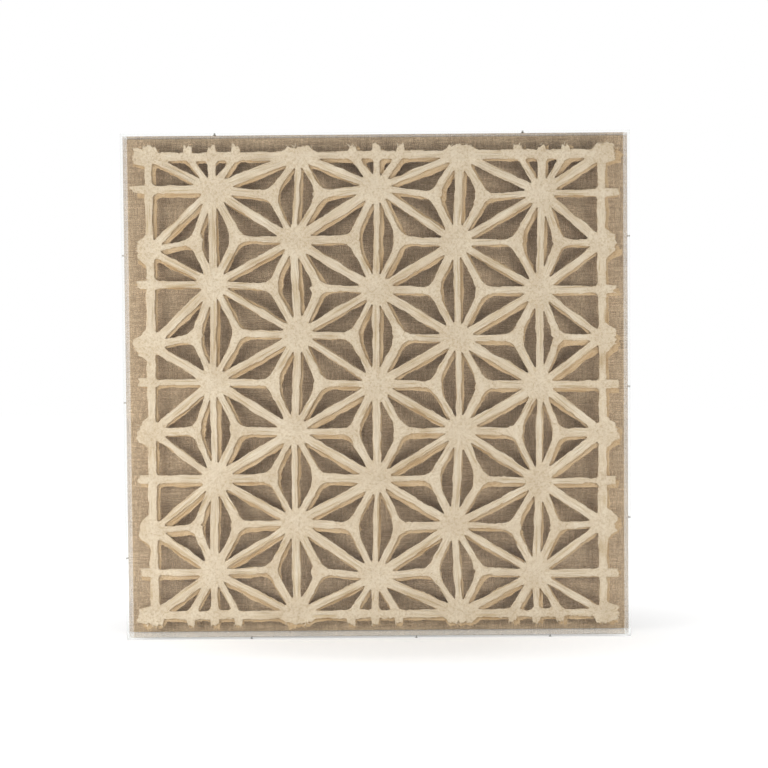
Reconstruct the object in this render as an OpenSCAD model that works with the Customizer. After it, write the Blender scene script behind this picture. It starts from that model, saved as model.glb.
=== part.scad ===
// Square acrylic box frame with two layers of cut paper lattice over a linen panel.
// Millimetres. The case stands on z = 0 and is centred on x = 0 and y = 0, with its front toward -y.

/* [Case] */
// Outer width of the acrylic case
case_w = 800; // [700:1:900]
// Outer height of the acrylic case
case_h = 800; // [700:1:900]
// Outer depth of the acrylic case
case_d = 76; // [70:1:110]
// Thickness of the acrylic sheets
acrylic_t = 4; // [3:0.5:6]
// Gap all round between the case walls and the linen panel
panel_fit = 0.3; // [0.1:0.1:1]

/* [Linen panel] */
// Thickness of the backing board
board_t = 5; // [3:0.5:8]
// Thickness of the linen
linen_t = 0.6; // [0.4:0.1:1]
// Width of the strainer bars, seen from behind
strainer_w = 36; // [32:1:60]
// Depth of the strainer bars
strainer_d = 16; // [12:1:20]
// Width of the linen hem turned in over the back of the bars
hem_w = 28; // [20:1:31]
// How far the panel sits inside the back edge of the case
back_recess = 2.4; // [2:0.1:6]

/* [Case screws] */
// Diameter of the screw shank
screw_d = 3; // [2.5:0.1:4]
// Length of the screw with its head
screw_l = 18; // [12:1:28]
// Diameter of the countersunk head
screw_head_d = 6.4; // [5:0.1:7.5]
// Clearance on diameter round a screw
screw_fit = 0.2; // [0.1:0.1:0.5]
// Screws in the top wall, from its middle
top_screws = [-255, 235]; // [-300:5:300]
// Screws in the bottom wall, from its middle
bottom_screws = [-205, 60, 275]; // [-300:5:300]
// Screws in the left wall, from its middle
left_screws = [-275, -25, 210]; // [-300:5:300]
// Screws in the right wall, from its middle
right_screws = [-215, -5, 235]; // [-300:5:300]

/* [Paper sheets] */
// Thickness of a paper sheet
paper_t = 1.6; // [1:0.1:3]
// Gap from the linen to the back sheet
back_gap = 16.5; // [4:0.5:18]
// Gap between the two sheets
sheet_gap = 1.5; // [1:0.5:12]
// Inside of the side walls to the middle of the border strip
side_margin = 37; // [32:1:60]
// Inside of the top and bottom walls to the middle of the border strip
end_margin = 30; // [22:1:60]
// Last column of hubs to the side border
side_reach = 99; // [85:1:115]
// Last row of hubs to the top or bottom border
end_reach = 66; // [58:1:80]
// How far the back sheet has slipped across and up
sheet_slip = [4, -5]; // [-6:0.5:6]

/* [Paper strips] */
// Width of the slanting strips from hub to hub
long_w = 12.5; // [9:0.5:15]
// Width of the upright strips from hub to hub
upright_w = 11; // [8:0.5:14]
// Width of the short strips from a hub to a fork
short_w = 11; // [7:0.5:13]
// Width of the border strips
border_w = 13; // [8:0.5:14]
// How far the ends of the strips stick out at the sides
side_stub_l = 17; // [8:1:20]
// How far the ends of the strips stick out at the top and bottom
end_stub_l = 9; // [5:1:14]
// How far a hub of the back sheet may stray from its fellow on the front sheet
hub_stray = 3; // [0:0.5:4]
// Share by which a strip may be wider or narrower
width_stray = 0.18; // [0:0.02:0.25]
// How far the forks lean toward the upright strips
fork_lean = 3; // [0:0.5:6]
// Rounding where strips part at a hub, along their edges
hub_round = 8; // [2:0.5:10]
// Rounding where strips part at a fork
fork_round = 14; // [4:1:18]
// Rounding of the fork on the side of the upright strip
lens_round = 30; // [10:1:40]
// Rounding where a strip meets the border
border_round = 8; // [2:0.5:10]
// Width of a single strip end past the border, at its root and tip
thin_stub = [14, 11]; // [4:1:20]
// Width of the bunched ends of a side hub, at their root and tip
side_stub = [50, 22]; // [16:1:60]
// Width of the bunched ends of a top or bottom hub, at their root and tip
end_stub = [56, 34]; // [20:1:80]
// Share by which a strip end may be longer or wider
stub_stray = 0.2; // [0:0.05:0.3]

/* [Spacer pads] */
// Diameter of the pads that hold the sheets apart behind the hubs
pad_d = 22; // [14:1:26]

/* [Hangers] */
// Middle of the case to the middle of each hanger
hanger_x = 190; // [80:5:260]
// Length of a hanger
hanger_l = 46; // [40:1:60]
// Height of a hanger
hanger_h = 12; // [10:1:16]
// Thickness of the hanger's sheet steel
hanger_t = 0.8; // [0.6:0.1:1]
// How far the toothed middle stands off the linen
hanger_rise = 0.8; // [0.6:0.1:1]
// Number of teeth
hanger_teeth = 7; // [5:2:9]
// Diameter of the hanger nails
nail_d = 1.4; // [1.2:0.1:1.8]
// Length of the hanger nails
nail_l = 11; // [8:1:13]

/* [Hidden] */
$fn = 48;

// The acrylic walls stand behind the front panel
front_y = -case_d / 2;
wall_y = front_y + acrylic_t;
back_y = case_d / 2;
wall_d = back_y - wall_y;

// The linen panel, from its back to its face
hem_y = back_y - back_recess;
core_back_y = hem_y - linen_t;
board_back_y = core_back_y - strainer_d;
board_y = board_back_y - board_t;
linen_y = board_y - linen_t;
panel_w = case_w - 2 * (acrylic_t + panel_fit);
panel_h = case_h - 2 * (acrylic_t + panel_fit);
core_w = panel_w - 2 * linen_t;
core_h = panel_h - 2 * linen_t;
middle_z = case_h / 2;

// The screws run through the walls into the middle of the strainer bars
screw_y = board_back_y + strainer_d / 2;
screw_sink = 0.1;
screw_tip_l = 4;
screw_head_h = (screw_head_d - screw_d) / 2;
bore_d = screw_d + screw_fit;
bore_extra = 0.5;

// The two sheets stand off the linen on pads
back_sheet_y = linen_y - back_gap;
front_sheet_y = back_sheet_y - paper_t - sheet_gap;
BACK = 0;
FRONT = 1;

// Lines of the lattice. Columns count from the middle, rows in half steps from the middle.
INNER_COLUMNS = 2;
INNER_ROWS = 4;
border_x = case_w / 2 - acrylic_t - side_margin;
border_z = case_h / 2 - acrylic_t - end_margin;
column_step = (border_x - side_reach) / INNER_COLUMNS;
row_step = (border_z - end_reach) / INNER_ROWS;
foot_spread = end_reach * tan(30);

// The hand-drawn pattern: how far hubs lie right of and above the even lattice.
// Inner hubs go by columns from the left, each from the bottom up.
hub_moves = [
    [[-2.9, 3.6], [0.1, 3.2], [-1.1, 8.1], [1.7, 13.5], [1, 14.1]],
    [[-2.2, 7.2], [-2.6, 2.9], [5.4, 7.5], [-1, 6.9]],
    [[-6.1, -5.6], [-0.6, 0.7], [-1.5, 2.7], [-0.1, 2.9], [2.4, 14.2]],
    [[-8.6, 1.5], [1, 3.2], [-0.5, -0.5], [-1.6, 1.4]],
    [[-8.3, -2.4], [-2.9, -4.5], [-0.5, -0.3], [-0.6, 0.5], [3.8, 4]]
];
// Hubs on the left and right border move up, those on the bottom and top border to the right
side_hub_moves = [[-3.4, 3.8, -7.9, -6.7], [2.1, -1.7, -0.8, -1.4]];
end_hub_moves = [[-0.6, -0.5], [9.7, 4.8]];

// Corners of the openings: [how far they are rounded, steps of the curve]
hub_corner = [hub_round, 1];
border_corner = [border_round, 1];
function fork_corner(s) = [fork_round, s == FRONT ? 2 : 1];
function lens_corner(s) = [lens_round, s == FRONT ? 2 : 1];

// A rounded corner takes at most this share of a side
ROUND_SHARE = 0.45;

// The border strips end in lumps at the corners
corner_stub = [border_w * 2.4, border_w * 1.8];

// The hangers sit on the hem of the top bar
hanger_z = middle_z + core_h / 2 - hem_w / 2;
hanger_foot_l = 9;
tooth_h = 2.2;
nail_head = [3.6, 0.7];
nail_fit = 0.2;
nail_x = (hanger_l - hanger_foot_l) / 2;

// A repeatable number from -1 to 1 for place a, b, so that no two strips are quite alike
function stray(a, b, k) = sin(137 * a + 211 * b + 97 * k);

function unit(v) = v / norm(v);
function flat(p) = [p[0], p[1]];
function reversed(list) = [for (n = [len(list) - 1:-1:0]) list[n]];

// Knots of the lattice: [x, z, place a, place b]. A column is this many places wide.
PLACES = 3;
function knot(p, a, b) = [p[0], p[1], a, b];

// How far the drawn hub in column i and row j lies from the even lattice; corners stay where they are
function hub_move(i, j) = let (past_i = abs(i) > INNER_COLUMNS, past_j = abs(j) > INNER_ROWS)
    past_i && past_j ? [0, 0]
    : past_i ? [0, side_hub_moves[(sign(i) + 1) / 2][(j + INNER_ROWS - 1) / 2]]
    : past_j ? [end_hub_moves[(sign(j) + 1) / 2][(i + INNER_COLUMNS - 1) / 2], 0]
    : hub_moves[i + INNER_COLUMNS][(j + INNER_ROWS - abs(i) % 2) / 2];

// A hub where twelve strips meet, on the border if it is past the inner columns or rows
function hub(s, i, j) = let (
    m = hub_move(i, j) + (s == BACK ? hub_stray : 0) * [stray(i, j, 0), stray(j, i, 2)]
) knot([
    abs(i) > INNER_COLUMNS ? sign(i) * border_x : i * column_step + m[0],
    abs(j) > INNER_ROWS ? sign(j) * border_z : j * row_step + m[1]
], PLACES * i, j);

// A fork inside three hubs, of which a and b stand on one upright strip and c apart from it
function fork(a, b, c) = let (side = sign(a[2] - c[2]), middle = (a + b + c) / 3)
    knot([middle[0] + side * fork_lean, middle[1]], middle[2], middle[3]);

// Where the level strip of a side hub meets the border
function side_foot(s, side, j) = knot([
    side * border_x, hub(s, side * INNER_COLUMNS, j)[1]
], side * PLACES * (INNER_COLUMNS + 1), j);

// Where strips of an end hub meet the border: upright for lean 0, slanting for lean -1 and 1
function end_foot(s, i, end, lean) = knot([
    hub(s, i, end * INNER_ROWS)[0] + lean * foot_spread, end * border_z
], PLACES * i + lean, end * (INNER_ROWS + 1));

// An opening: three knots, half the width of the strip after each, and the corner at each
function opening(s, knots, widths, corners) = let (
    halves = [for (n = [0:2]) let (p = knots[n], q = knots[(n + 1) % 3])
        widths[n] / 2 * (1 + width_stray * stray(p[2] + q[2], p[3] + q[3], s + 4))]
) [[for (p = knots) flat(p)], halves, corners];

// The three openings round a fork
function fork_openings(s, a, b, c) = let (y = fork(a, b, c)) [
    opening(s, [a, b, y], [upright_w, short_w, short_w], [hub_corner, hub_corner, lens_corner(s)]),
    opening(s, [b, c, y], [long_w, short_w, short_w], [hub_corner, hub_corner, fork_corner(s)]),
    opening(s, [c, a, y], [long_w, short_w, short_w], [hub_corner, hub_corner, fork_corner(s)])
];

// The openings above and below a level strip that ends on the side border
function side_openings(s, side, j) = let (
    h = hub(s, side * INNER_COLUMNS, j),
    f = side_foot(s, side, j)
) [
    for (up = [-1, 1]) let (k = hub(s, side * (INNER_COLUMNS + 1), j + up))
        opening(s, [h, f, k], [short_w, border_w, long_w], [hub_corner, border_corner, hub_corner])
];

// The openings on one side of an upright strip that ends on the top or bottom border
function end_openings(s, i, end, lean) = let (
    h = hub(s, i, end * INNER_ROWS),
    f = end_foot(s, i, end, 0),
    g = end_foot(s, i, end, lean),
    k = hub(s, i + lean, end * (INNER_ROWS + 1))
) [
    opening(s, [h, f, g], [upright_w, border_w, short_w], [hub_corner, border_corner, border_corner]),
    opening(s, [h, g, k], [short_w, border_w, long_w], [hub_corner, border_corner, hub_corner])
];

// All openings of a sheet: round forks to the right and left of upright strips, then along the border
function openings(s) = [
    for (i = [-INNER_COLUMNS:INNER_COLUMNS]) let (last = INNER_ROWS - 1 + abs(i) % 2)
        for (j = [-last:2:last], side = [-1, 1])
            each fork_openings(s, hub(s, i, j - 1), hub(s, i, j + 1), hub(s, i + side, j)),
    for (side = [-1, 1], j = [-INNER_ROWS:2:INNER_ROWS]) each side_openings(s, side, j),
    for (i = [-INNER_COLUMNS:2:INNER_COLUMNS], end = [-1, 1], lean = [-1, 1])
        each end_openings(s, i, end, lean)
];

// A corner at p, moved in by half the width of the strips toward q and r
function inset(p, q, r, half_q, half_r) = let (to_q = unit(q - p), to_r = unit(r - p))
    p + (to_q * half_r + to_r * half_q) / abs(cross(to_q, to_r));

// A corner at p, rounded toward q and r by a curve that touches both sides
function rounded(p, q, r, corner) = let (
    t = min(corner[0], norm(q - p) * ROUND_SHARE, norm(r - p) * ROUND_SHARE),
    from = p + unit(q - p) * t,
    to = p + unit(r - p) * t
) [for (n = [0:corner[1]]) let (u = n / corner[1]) from * (1 - u) ^ 2 + p * 2 * u * (1 - u) + to * u ^ 2];

// Outline of an opening
function opening_outline(o) = let (
    p = o[0],
    h = o[1],
    c = [for (n = [0:2]) inset(p[n], p[(n + 1) % 3], p[(n + 2) % 3], h[n], h[(n + 2) % 3])]
) [for (n = [0:2]) each rounded(c[n], c[(n + 2) % 3], c[(n + 1) % 3], o[2][n])];

// A strip end beyond the border, at a place along it: [along, out]
function stub(at, width, l, s) = let (
    root = width[0] / 2,
    tip = width[1] / 2 * (1 + stub_stray * stray(at, s, 6)),
    out = [for (n = [7, 8]) l * (1 + stub_stray * stray(at, s, n))]
) [[at - root, 0], [at - tip, out[0]], [at + tip, out[1]], [at + root, 0]];

// A list without its first or last item. The lumps of two border strips run together at a corner.
function after_first(list) = [for (n = [1:len(list) - 1]) list[n]];
function before_last(list) = [for (n = [0:len(list) - 2]) list[n]];

// Strip ends along the left or right border, from the bottom up
function side_stubs(s, side) = [
    each after_first(stub(-border_z, corner_stub, side_stub_l, s)),
    for (j = [-INNER_ROWS:INNER_ROWS])
        each abs(j) % 2 == 0
            ? stub(side_foot(s, side, j)[1], thin_stub, side_stub_l, s)
            : stub(hub(s, side * (INNER_COLUMNS + 1), j)[1], side_stub, side_stub_l, s),
    each before_last(stub(border_z, corner_stub, side_stub_l, s))
];

// Strip ends along the top or bottom border, from the left
function end_stubs(s, end) = [
    each after_first(stub(-border_x, corner_stub, end_stub_l, s)),
    for (i = [-INNER_COLUMNS:INNER_COLUMNS])
        each abs(i) % 2 == 0
            ? [for (lean = [-1:1]) each stub(end_foot(s, i, end, lean)[0], thin_stub, end_stub_l, s)]
            : stub(hub(s, i, end * (INNER_ROWS + 1))[0], end_stub, end_stub_l, s),
    each before_last(stub(border_x, corner_stub, end_stub_l, s))
];

// Outline of a sheet, with all its strip ends
function sheet_outline(s) = let (x = border_x + border_w / 2, z = border_z + border_w / 2) concat(
    [for (p = end_stubs(s, -1)) [p[0], -z - p[1]]],
    [for (p = side_stubs(s, 1)) [x + p[1], p[0]]],
    reversed([for (p = end_stubs(s, 1)) [p[0], z + p[1]]]),
    reversed([for (p = side_stubs(s, -1)) [-x - p[1], p[0]]])
);

// Hubs that have a pad behind them
function padded_hubs(s) = [
    for (i = [-INNER_COLUMNS:INNER_COLUMNS]) let (last = INNER_ROWS - abs(i) % 2)
        for (j = [-last:2:last]) flat(hub(s, i, j))
];

// Stands a flat drawing upright, its back at y, and thickens it toward the front
module upright(y, t) {
    translate([0, y, middle_z])
        rotate([90, 0, 0])
            linear_extrude(t) children();
}

// A block centred on x, from its corner at y and z
module block(w, d, h, y, z) {
    translate([-w / 2, y, z]) cube([w, d, h]);
}

// Puts a screw's own frame on a wall, with +z out of the wall at its face
module at_screws(wall) {
    if (wall == "top")
        for (p = top_screws) translate([p, screw_y, case_h]) children();
    if (wall == "bottom")
        for (p = bottom_screws) translate([p, screw_y, 0]) rotate([180, 0, 0]) children();
    if (wall == "left")
        for (p = left_screws) translate([-case_w / 2, screw_y, middle_z + p]) rotate([0, -90, 0]) children();
    if (wall == "right")
        for (p = right_screws) translate([case_w / 2, screw_y, middle_z + p]) rotate([0, 90, 0]) children();
}

module screw() {
    rotate_extrude()
        polygon([
            [0, -screw_l], [screw_d / 2, screw_tip_l - screw_l], [screw_d / 2, -screw_sink - screw_head_h],
            [screw_head_d / 2, -screw_sink], [0, -screw_sink]
        ]);
}

// Bore and countersink for a screw
module screw_hole() {
    translate([0, 0, -screw_l - bore_extra]) cylinder(d = bore_d, h = screw_l + 2 * bore_extra);
    translate([0, 0, -screw_head_h]) cylinder(d1 = bore_d, d2 = bore_d + 2 * screw_head_h, h = screw_head_h);
}

module screw_bores(wall) {
    at_screws(wall) screw_hole();
}

// Puts a nail's own frame at both ends of both hangers, with +z out of the back
module at_nails() {
    for (side = [-1, 1], end = [-1, 1])
        translate([side * hanger_x + end * nail_x, hem_y, hanger_z]) rotate([-90, 0, 0]) children();
}

module nail() {
    rotate_extrude()
        polygon([
            [0, -nail_l], [nail_d / 2, nail_d - nail_l], [nail_d / 2, hanger_t], [nail_head[0] / 2, hanger_t],
            [nail_head[0] / 2, hanger_t + nail_head[1]], [0, hanger_t + nail_head[1]]
        ]);
}

module nail_bores() {
    at_nails()
        translate([0, 0, -nail_l - bore_extra])
            cylinder(d = nail_d + nail_fit, h = nail_l + hanger_t + 2 * bore_extra);
}

module acrylic() {
    color([0.88, 0.93, 0.93, 0.3]) children();
}

module pine() {
    color("burlywood") children();
}

module steel() {
    color("silver") children();
}

module front_panel() {
    acrylic() block(case_w, acrylic_t, case_h, front_y, 0);
}

module top_wall() {
    acrylic() difference() {
        block(case_w, wall_d, acrylic_t, wall_y, case_h - acrylic_t);
        screw_bores("top");
    }
}

module bottom_wall() {
    acrylic() difference() {
        block(case_w, wall_d, acrylic_t, wall_y, 0);
        screw_bores("bottom");
    }
}

// A side wall stands between the top and bottom walls
module side_wall(side) {
    translate([side * (case_w - acrylic_t) / 2, 0, 0])
        block(acrylic_t, wall_d, case_h - 2 * acrylic_t, wall_y, acrylic_t);
}

module left_wall() {
    acrylic() difference() {
        side_wall(-1);
        screw_bores("left");
    }
}

module right_wall() {
    acrylic() difference() {
        side_wall(1);
        screw_bores("right");
    }
}

// Linen drawn over the face and edges of the panel, with its hem turned in behind
module linen_cover() {
    open_w = core_w - 2 * hem_w;
    open_h = core_h - 2 * hem_w;
    color("tan") difference() {
        block(panel_w, hem_y - linen_y, panel_h, linen_y, middle_z - panel_h / 2);
        block(core_w, core_back_y - board_y, core_h, board_y, middle_z - core_h / 2);
        block(open_w, case_d, open_h, board_back_y, middle_z - open_h / 2);
        for (wall = ["top", "bottom", "left", "right"]) screw_bores(wall);
        nail_bores();
    }
}

module backing_board() {
    color("peru") block(core_w, board_t, core_h, board_y, middle_z - core_h / 2);
}

// A bar with mitred ends, its outer edge at the given reach from the middle, turned to its side
module strainer_bar(l, reach, turn) {
    long = l / 2;
    short = long - strainer_w;
    inner = reach - strainer_w;
    upright(core_back_y, strainer_d)
        rotate(turn)
            polygon([[-long, reach], [long, reach], [short, inner], [-short, inner]]);
}

module strainer_top() {
    pine() difference() {
        strainer_bar(core_w, core_h / 2, 0);
        screw_bores("top");
        nail_bores();
    }
}

module strainer_bottom() {
    pine() difference() {
        strainer_bar(core_w, core_h / 2, 180);
        screw_bores("bottom");
    }
}

module strainer_left() {
    pine() difference() {
        strainer_bar(core_h, core_w / 2, 90);
        screw_bores("left");
    }
}

module strainer_right() {
    pine() difference() {
        strainer_bar(core_h, core_w / 2, -90);
        screw_bores("right");
    }
}

module case_screws() {
    steel() for (wall = ["top", "bottom", "left", "right"]) at_screws(wall) screw();
}

// A sheet of paper strips: its outline less all its openings
module paper_sheet(s, y) {
    upright(y, paper_t) difference() {
        polygon(sheet_outline(s));
        for (o = openings(s)) polygon(opening_outline(o));
    }
}

module paper_back() {
    color("#b8976f") translate([sheet_slip[0], 0, sheet_slip[1]]) paper_sheet(BACK, back_sheet_y);
}

module paper_front() {
    color("#d9c9ae") paper_sheet(FRONT, front_sheet_y);
}

module back_pads() {
    color("ivory") translate([sheet_slip[0], 0, sheet_slip[1]])
        upright(linen_y, back_gap)
            for (p = padded_hubs(BACK)) translate(p) circle(d = pad_d);
}

module front_pads() {
    color("ivory") upright(back_sheet_y - paper_t, sheet_gap)
        for (p = padded_hubs(FRONT)) translate(p) circle(d = pad_d);
}

// Bent strip with feet on the hem and a raised middle whose lower edge has teeth
module hanger(side) {
    end_x = hanger_l / 2;
    foot_x = end_x - hanger_foot_l;
    mid_x = foot_x - hanger_rise;
    top_y = hanger_rise + hanger_t;
    tooth_w = 2 * mid_x / (hanger_teeth + 1);
    steel() difference() {
        translate([side * hanger_x, hem_y, hanger_z - hanger_h / 2])
            linear_extrude(hanger_h)
                polygon([
                    [-end_x, 0], [-foot_x, 0], [-mid_x, hanger_rise],
                    [mid_x, hanger_rise], [foot_x, 0], [end_x, 0],
                    [end_x, hanger_t], [foot_x, hanger_t], [mid_x, top_y],
                    [-mid_x, top_y], [-foot_x, hanger_t], [-end_x, hanger_t]
                ]);
        for (n = [1:hanger_teeth])
            translate([side * hanger_x - mid_x + n * tooth_w, hem_y + 2 * top_y, hanger_z - hanger_h / 2])
                rotate([90, 0, 0])
                    linear_extrude(2 * top_y)
                        polygon([[-tooth_w / 2, 0], [0, tooth_h], [tooth_w / 2, 0]]);
        nail_bores();
    }
}

module hanger_left() {
    hanger(-1);
}

module hanger_right() {
    hanger(1);
}

module hanger_nails() {
    steel() at_nails() nail();
}

front_panel();
top_wall();
bottom_wall();
left_wall();
right_wall();
linen_cover();
backing_board();
strainer_top();
strainer_bottom();
strainer_left();
strainer_right();
case_screws();
paper_back();
paper_front();
back_pads();
front_pads();
hanger_left();
hanger_right();
hanger_nails();
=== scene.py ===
"""Dresses a framed layered paper art: two cut paper lattices over a linen panel in a clear box frame."""

import math

import bpy
import numpy as np
from bpy.props import FloatProperty, FloatVectorProperty, PointerProperty
from mathutils import Matrix, Vector


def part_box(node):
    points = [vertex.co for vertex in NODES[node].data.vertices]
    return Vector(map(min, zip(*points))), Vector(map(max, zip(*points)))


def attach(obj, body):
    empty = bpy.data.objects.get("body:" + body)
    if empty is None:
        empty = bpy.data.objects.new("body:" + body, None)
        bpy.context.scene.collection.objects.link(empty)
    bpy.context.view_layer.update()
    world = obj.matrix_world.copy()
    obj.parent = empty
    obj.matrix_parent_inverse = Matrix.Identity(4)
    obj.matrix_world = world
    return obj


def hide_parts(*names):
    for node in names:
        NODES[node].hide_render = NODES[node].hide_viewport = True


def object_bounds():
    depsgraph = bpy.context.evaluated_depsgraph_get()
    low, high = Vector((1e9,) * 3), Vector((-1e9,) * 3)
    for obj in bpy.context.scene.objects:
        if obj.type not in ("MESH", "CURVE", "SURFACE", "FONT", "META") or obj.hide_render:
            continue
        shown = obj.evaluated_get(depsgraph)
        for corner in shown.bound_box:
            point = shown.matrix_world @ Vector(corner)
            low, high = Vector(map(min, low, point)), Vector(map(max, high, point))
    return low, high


bl_info = {
    "name": "Framed Layered Paper Art",
    "version": (1, 0, 0),
    "blender": (4, 5, 0),
    "location": "View3D > Sidebar > Paper Art",
    "description": "Cut paper lattices over a linen panel in a clear box frame",
    "category": "Object",
}

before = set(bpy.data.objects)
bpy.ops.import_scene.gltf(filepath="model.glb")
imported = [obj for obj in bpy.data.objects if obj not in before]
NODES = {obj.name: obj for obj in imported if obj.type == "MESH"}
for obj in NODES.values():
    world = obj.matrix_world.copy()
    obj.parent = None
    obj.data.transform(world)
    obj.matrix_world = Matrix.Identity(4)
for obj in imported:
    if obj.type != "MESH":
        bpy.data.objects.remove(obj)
CAD_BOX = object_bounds()

MM = 0.001
TINY = 1e-9

# Distance within which points become one, and a shift that keeps round numbers off the edges of its
# steps. The triangles of a solid are joined at a wider distance.
WELD = 2e-6
WELD_SHIFT = 0.37
SOLID_WELD = 10 * WELD

# Bends across a broken edge, and the angle in degrees past which an edge of the acrylic is broken
ARRIS_SEGMENTS = 2
ARRIS_ANGLE = 60

# Angles in degrees past which an edge stays sharp
PAPER_SHARP = 18
LINEN_SHARP = 80
SCREW_SHARP = 40

# What tells the strays of hubs, of strips' widths, of their twist and of the strip ends apart, and the
# seed of the loose fibres
HUB_SEEDS = (0, 2)
WIDTH_SEED = 4
TWIST_SEED = 9
STUB_WIDTH_SEED = 6
STUB_END_SEEDS = (7, 8)
TUFT_SEED = 60

# Sines in a ripple, and how far their wavelengths go below and above its own
WAVE_COUNT = 9
WAVE_SPREAD = (0.7, 1.45)

# The lattice, in metres, as the part's source has it. x and z count from the middle of a sheet.
MIDDLE_Z = 0.4
BACK = 0
FRONT = 1
SHEET_BACK_Y = (-0.0031, -0.0062)
SHEET_SLIP = ((0.004, -0.005), (0.0, 0.0))
BORDER_X = 0.359
BORDER_Z = 0.366
COLUMN_STEP = 0.130
ROW_STEP = 0.075
INNER_COLUMNS = 2
INNER_ROWS = 4
PLACES = 3
END_REACH = 0.066
FOOT_SPREAD = END_REACH * math.tan(math.radians(30))
HUB_STRAY = (0.003, 0.0)
WIDTH_STRAY = 0.18
FORK_LEAN = 0.003
HUB_ROUND = 0.008
FORK_ROUND = 0.014
LENS_ROUND = 0.030
BORDER_ROUND = 0.008
ROUND_SHARE = 0.45
SIDE_STUB_L = 0.017
END_STUB_L = 0.009
STUB_STRAY = 0.2
OUT_WEIGHT = 0.4
THIN_STUB = (0.014, 0.011)
SIDE_STUB = (0.050, 0.022)
END_STUB = (0.056, 0.034)
CORNER_STUB = (0.0312, 0.0234)

# How far hubs lie right of and above the even lattice, in millimetres, as a fit of drawn strips to the
# photograph found them. Inner hubs go by columns from the left, each from the bottom up. Border hubs
# move along their border.
HUB_MOVES = (
    ((-2.9, 3.6), (0.1, 3.2), (-1.1, 8.1), (1.7, 13.5), (1.0, 14.1)),
    ((-2.2, 7.2), (-2.6, 2.9), (5.4, 7.5), (-1.0, 6.9)),
    ((-6.1, -5.6), (-0.6, 0.7), (-1.5, 2.7), (-0.1, 2.9), (2.4, 14.2)),
    ((-8.6, 1.5), (1.0, 3.2), (-0.5, -0.5), (-1.6, 1.4)),
    ((-8.3, -2.4), (-2.9, -4.5), (-0.5, -0.3), (-0.6, 0.5), (3.8, 4.0)),
)
SIDE_HUB_MOVES = ((-3.4, 3.8, -7.9, -6.7), (2.1, -1.7, -0.8, -1.4))
END_HUB_MOVES = ((-0.6, -0.5), (9.7, 4.8))

# Steps of a strip's grid round each of its corners and along the straight, for inner and for border
# strips, the share of a strip that a corner takes, and the rays of a corner's fan
INNER_STEPS = (5, 25)
BORDER_STEPS = (8, 46)
BEND_SHARE = 0.14
FAN_STEPS = 26

# Distance from a strip's edge of the last two rows, the most of a half strip they take, and the height
# of each row on the front
EDGE_ROWS = ((0.0008, 0.25), (0.00025, 0.10))
ROW_RISE = np.array([1.0, 0.96, 0.74, 0.0])
ROWS = 5

# How far from an edge its painted shade reaches, and how far from a fork's corner it is torn
EDGE_SHADE_REACH = 0.0022
TEAR_REACH = 0.011

# Distance from a knot within which a strip lies flat, and from which it is free to swell and twist
FLAT_REACH = (0.016, 0.036)

# Ripples of a sheet, each with its size, wavelength and seed. Those of the thickness, the swell and the
# ragged edge are shares of these settings; the others are in metres.
THICKNESS_WAVES = ((0.10, 0.022, 40),)
SWELL_WAVES = ((1.0, 0.09, 42),)
RAGGED_WAVES = ((1.1, 0.042, 20), (0.35, 0.016, 22), (0.45, 0.008, 24), (0.35, 0.0045, 25))
TEAR_WAVES = ((0.0016, 0.0055, 30),)
CURL_WAVES = ((0.00022, 0.005, 44),)
FRAY_WAVES = ((0.0009, 0.0055, 26), (0.0015, 0.019, 28))
LEAN_WAVES = ((0.0003, 0.045, 34),)

# How far a torn edge is moved out and raised, how torn the strip ends are, and the most of a half strip
# by which an edge is moved in
TEAR_DEPTH = 0.0013
TEAR_RISE = 0.00022
STUB_TORN = 0.6
INWARD_MOST = 0.34

# The share of painted edge shade on the rear face of a strip, how far the flat map of a strip is moved
# for its place, and what tells columns apart
REAR_EDGE_SHADE = 0.5
MAP_SHIFT = (0.37, 0.61)
COLUMN_KEY = 100

# Loose fibres: steps along one, the distance between two, how far they spread over a strip end and
# stand out on it, how they turn and bend, their lengths, half widths and lift, the share set into the
# sheet, the flatness of their section, and their share of the painted edge shade
TUFT_STEPS = 6
TUFT_SPACING = 0.007
TUFT_SPREAD = 0.55
TUFT_OUT = 0.8
TUFT_TURN = 0.6
TUFT_BEND = 0.9
TUFT_LONG = (0.003, 0.008)
TUFT_HALF = (0.0004, 0.0010)
TUFT_LIFT = (-0.0025, 0.0012)
TUFT_SET_IN = 0.25
TUFT_FLATNESS = 0.4
TUFT_EDGE_SHADE = 0.3

# Steps of the linen over the face, round an edge and down a side
LINEN_STEPS = 64
LINEN_TURN = 5
LINEN_SIDE = 4

# Case screws, in metres: radius of the head and the shank, length, depth under the wall's face, pitch,
# distance behind the middle of the case, and the places along the top, the bottom, the left and the
# right wall
SCREW_HEAD = 0.0032
SCREW_SHANK = 0.0015
SCREW_LENGTH = 0.018
SCREW_SINK = 0.0001
SCREW_PITCH = 0.0011
SCREW_Y = 0.027
SCREW_SPOTS = (
    (-0.255, 0.235),
    (-0.205, 0.060, 0.275),
    (-0.275, -0.025, 0.210),
    (-0.215, -0.005, 0.235),
)

# How far each screw is turned from the last one, from wall to wall and along a wall, in radians
SCREW_TURNS = (0.7, 1.1)

# A screw's grid: columns round it, radii of the rings of its face as shares of the head, and rings of
# its shank
SCREW_COLUMNS = 24
HEAD_RINGS = (0.0, 0.12, 0.22, 0.3, 0.42, 0.5, 0.56, 0.75, 0.93, 1.0)
SHANK_RINGS = 44

# The cross recess: where its walls start and end, across an arm and along it, as shares of the head,
# its depth, and how much it rises to its ends
RECESS_ACROSS = (0.17, 0.10)
RECESS_ALONG = (0.56, 0.44)
RECESS_DEPTH = 0.0011
RECESS_RISE = 0.5

# The thread's depth as a share of the shank, and the length of the point
THREAD_DEPTH = 0.20
POINT_LENGTH = 0.004


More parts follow.
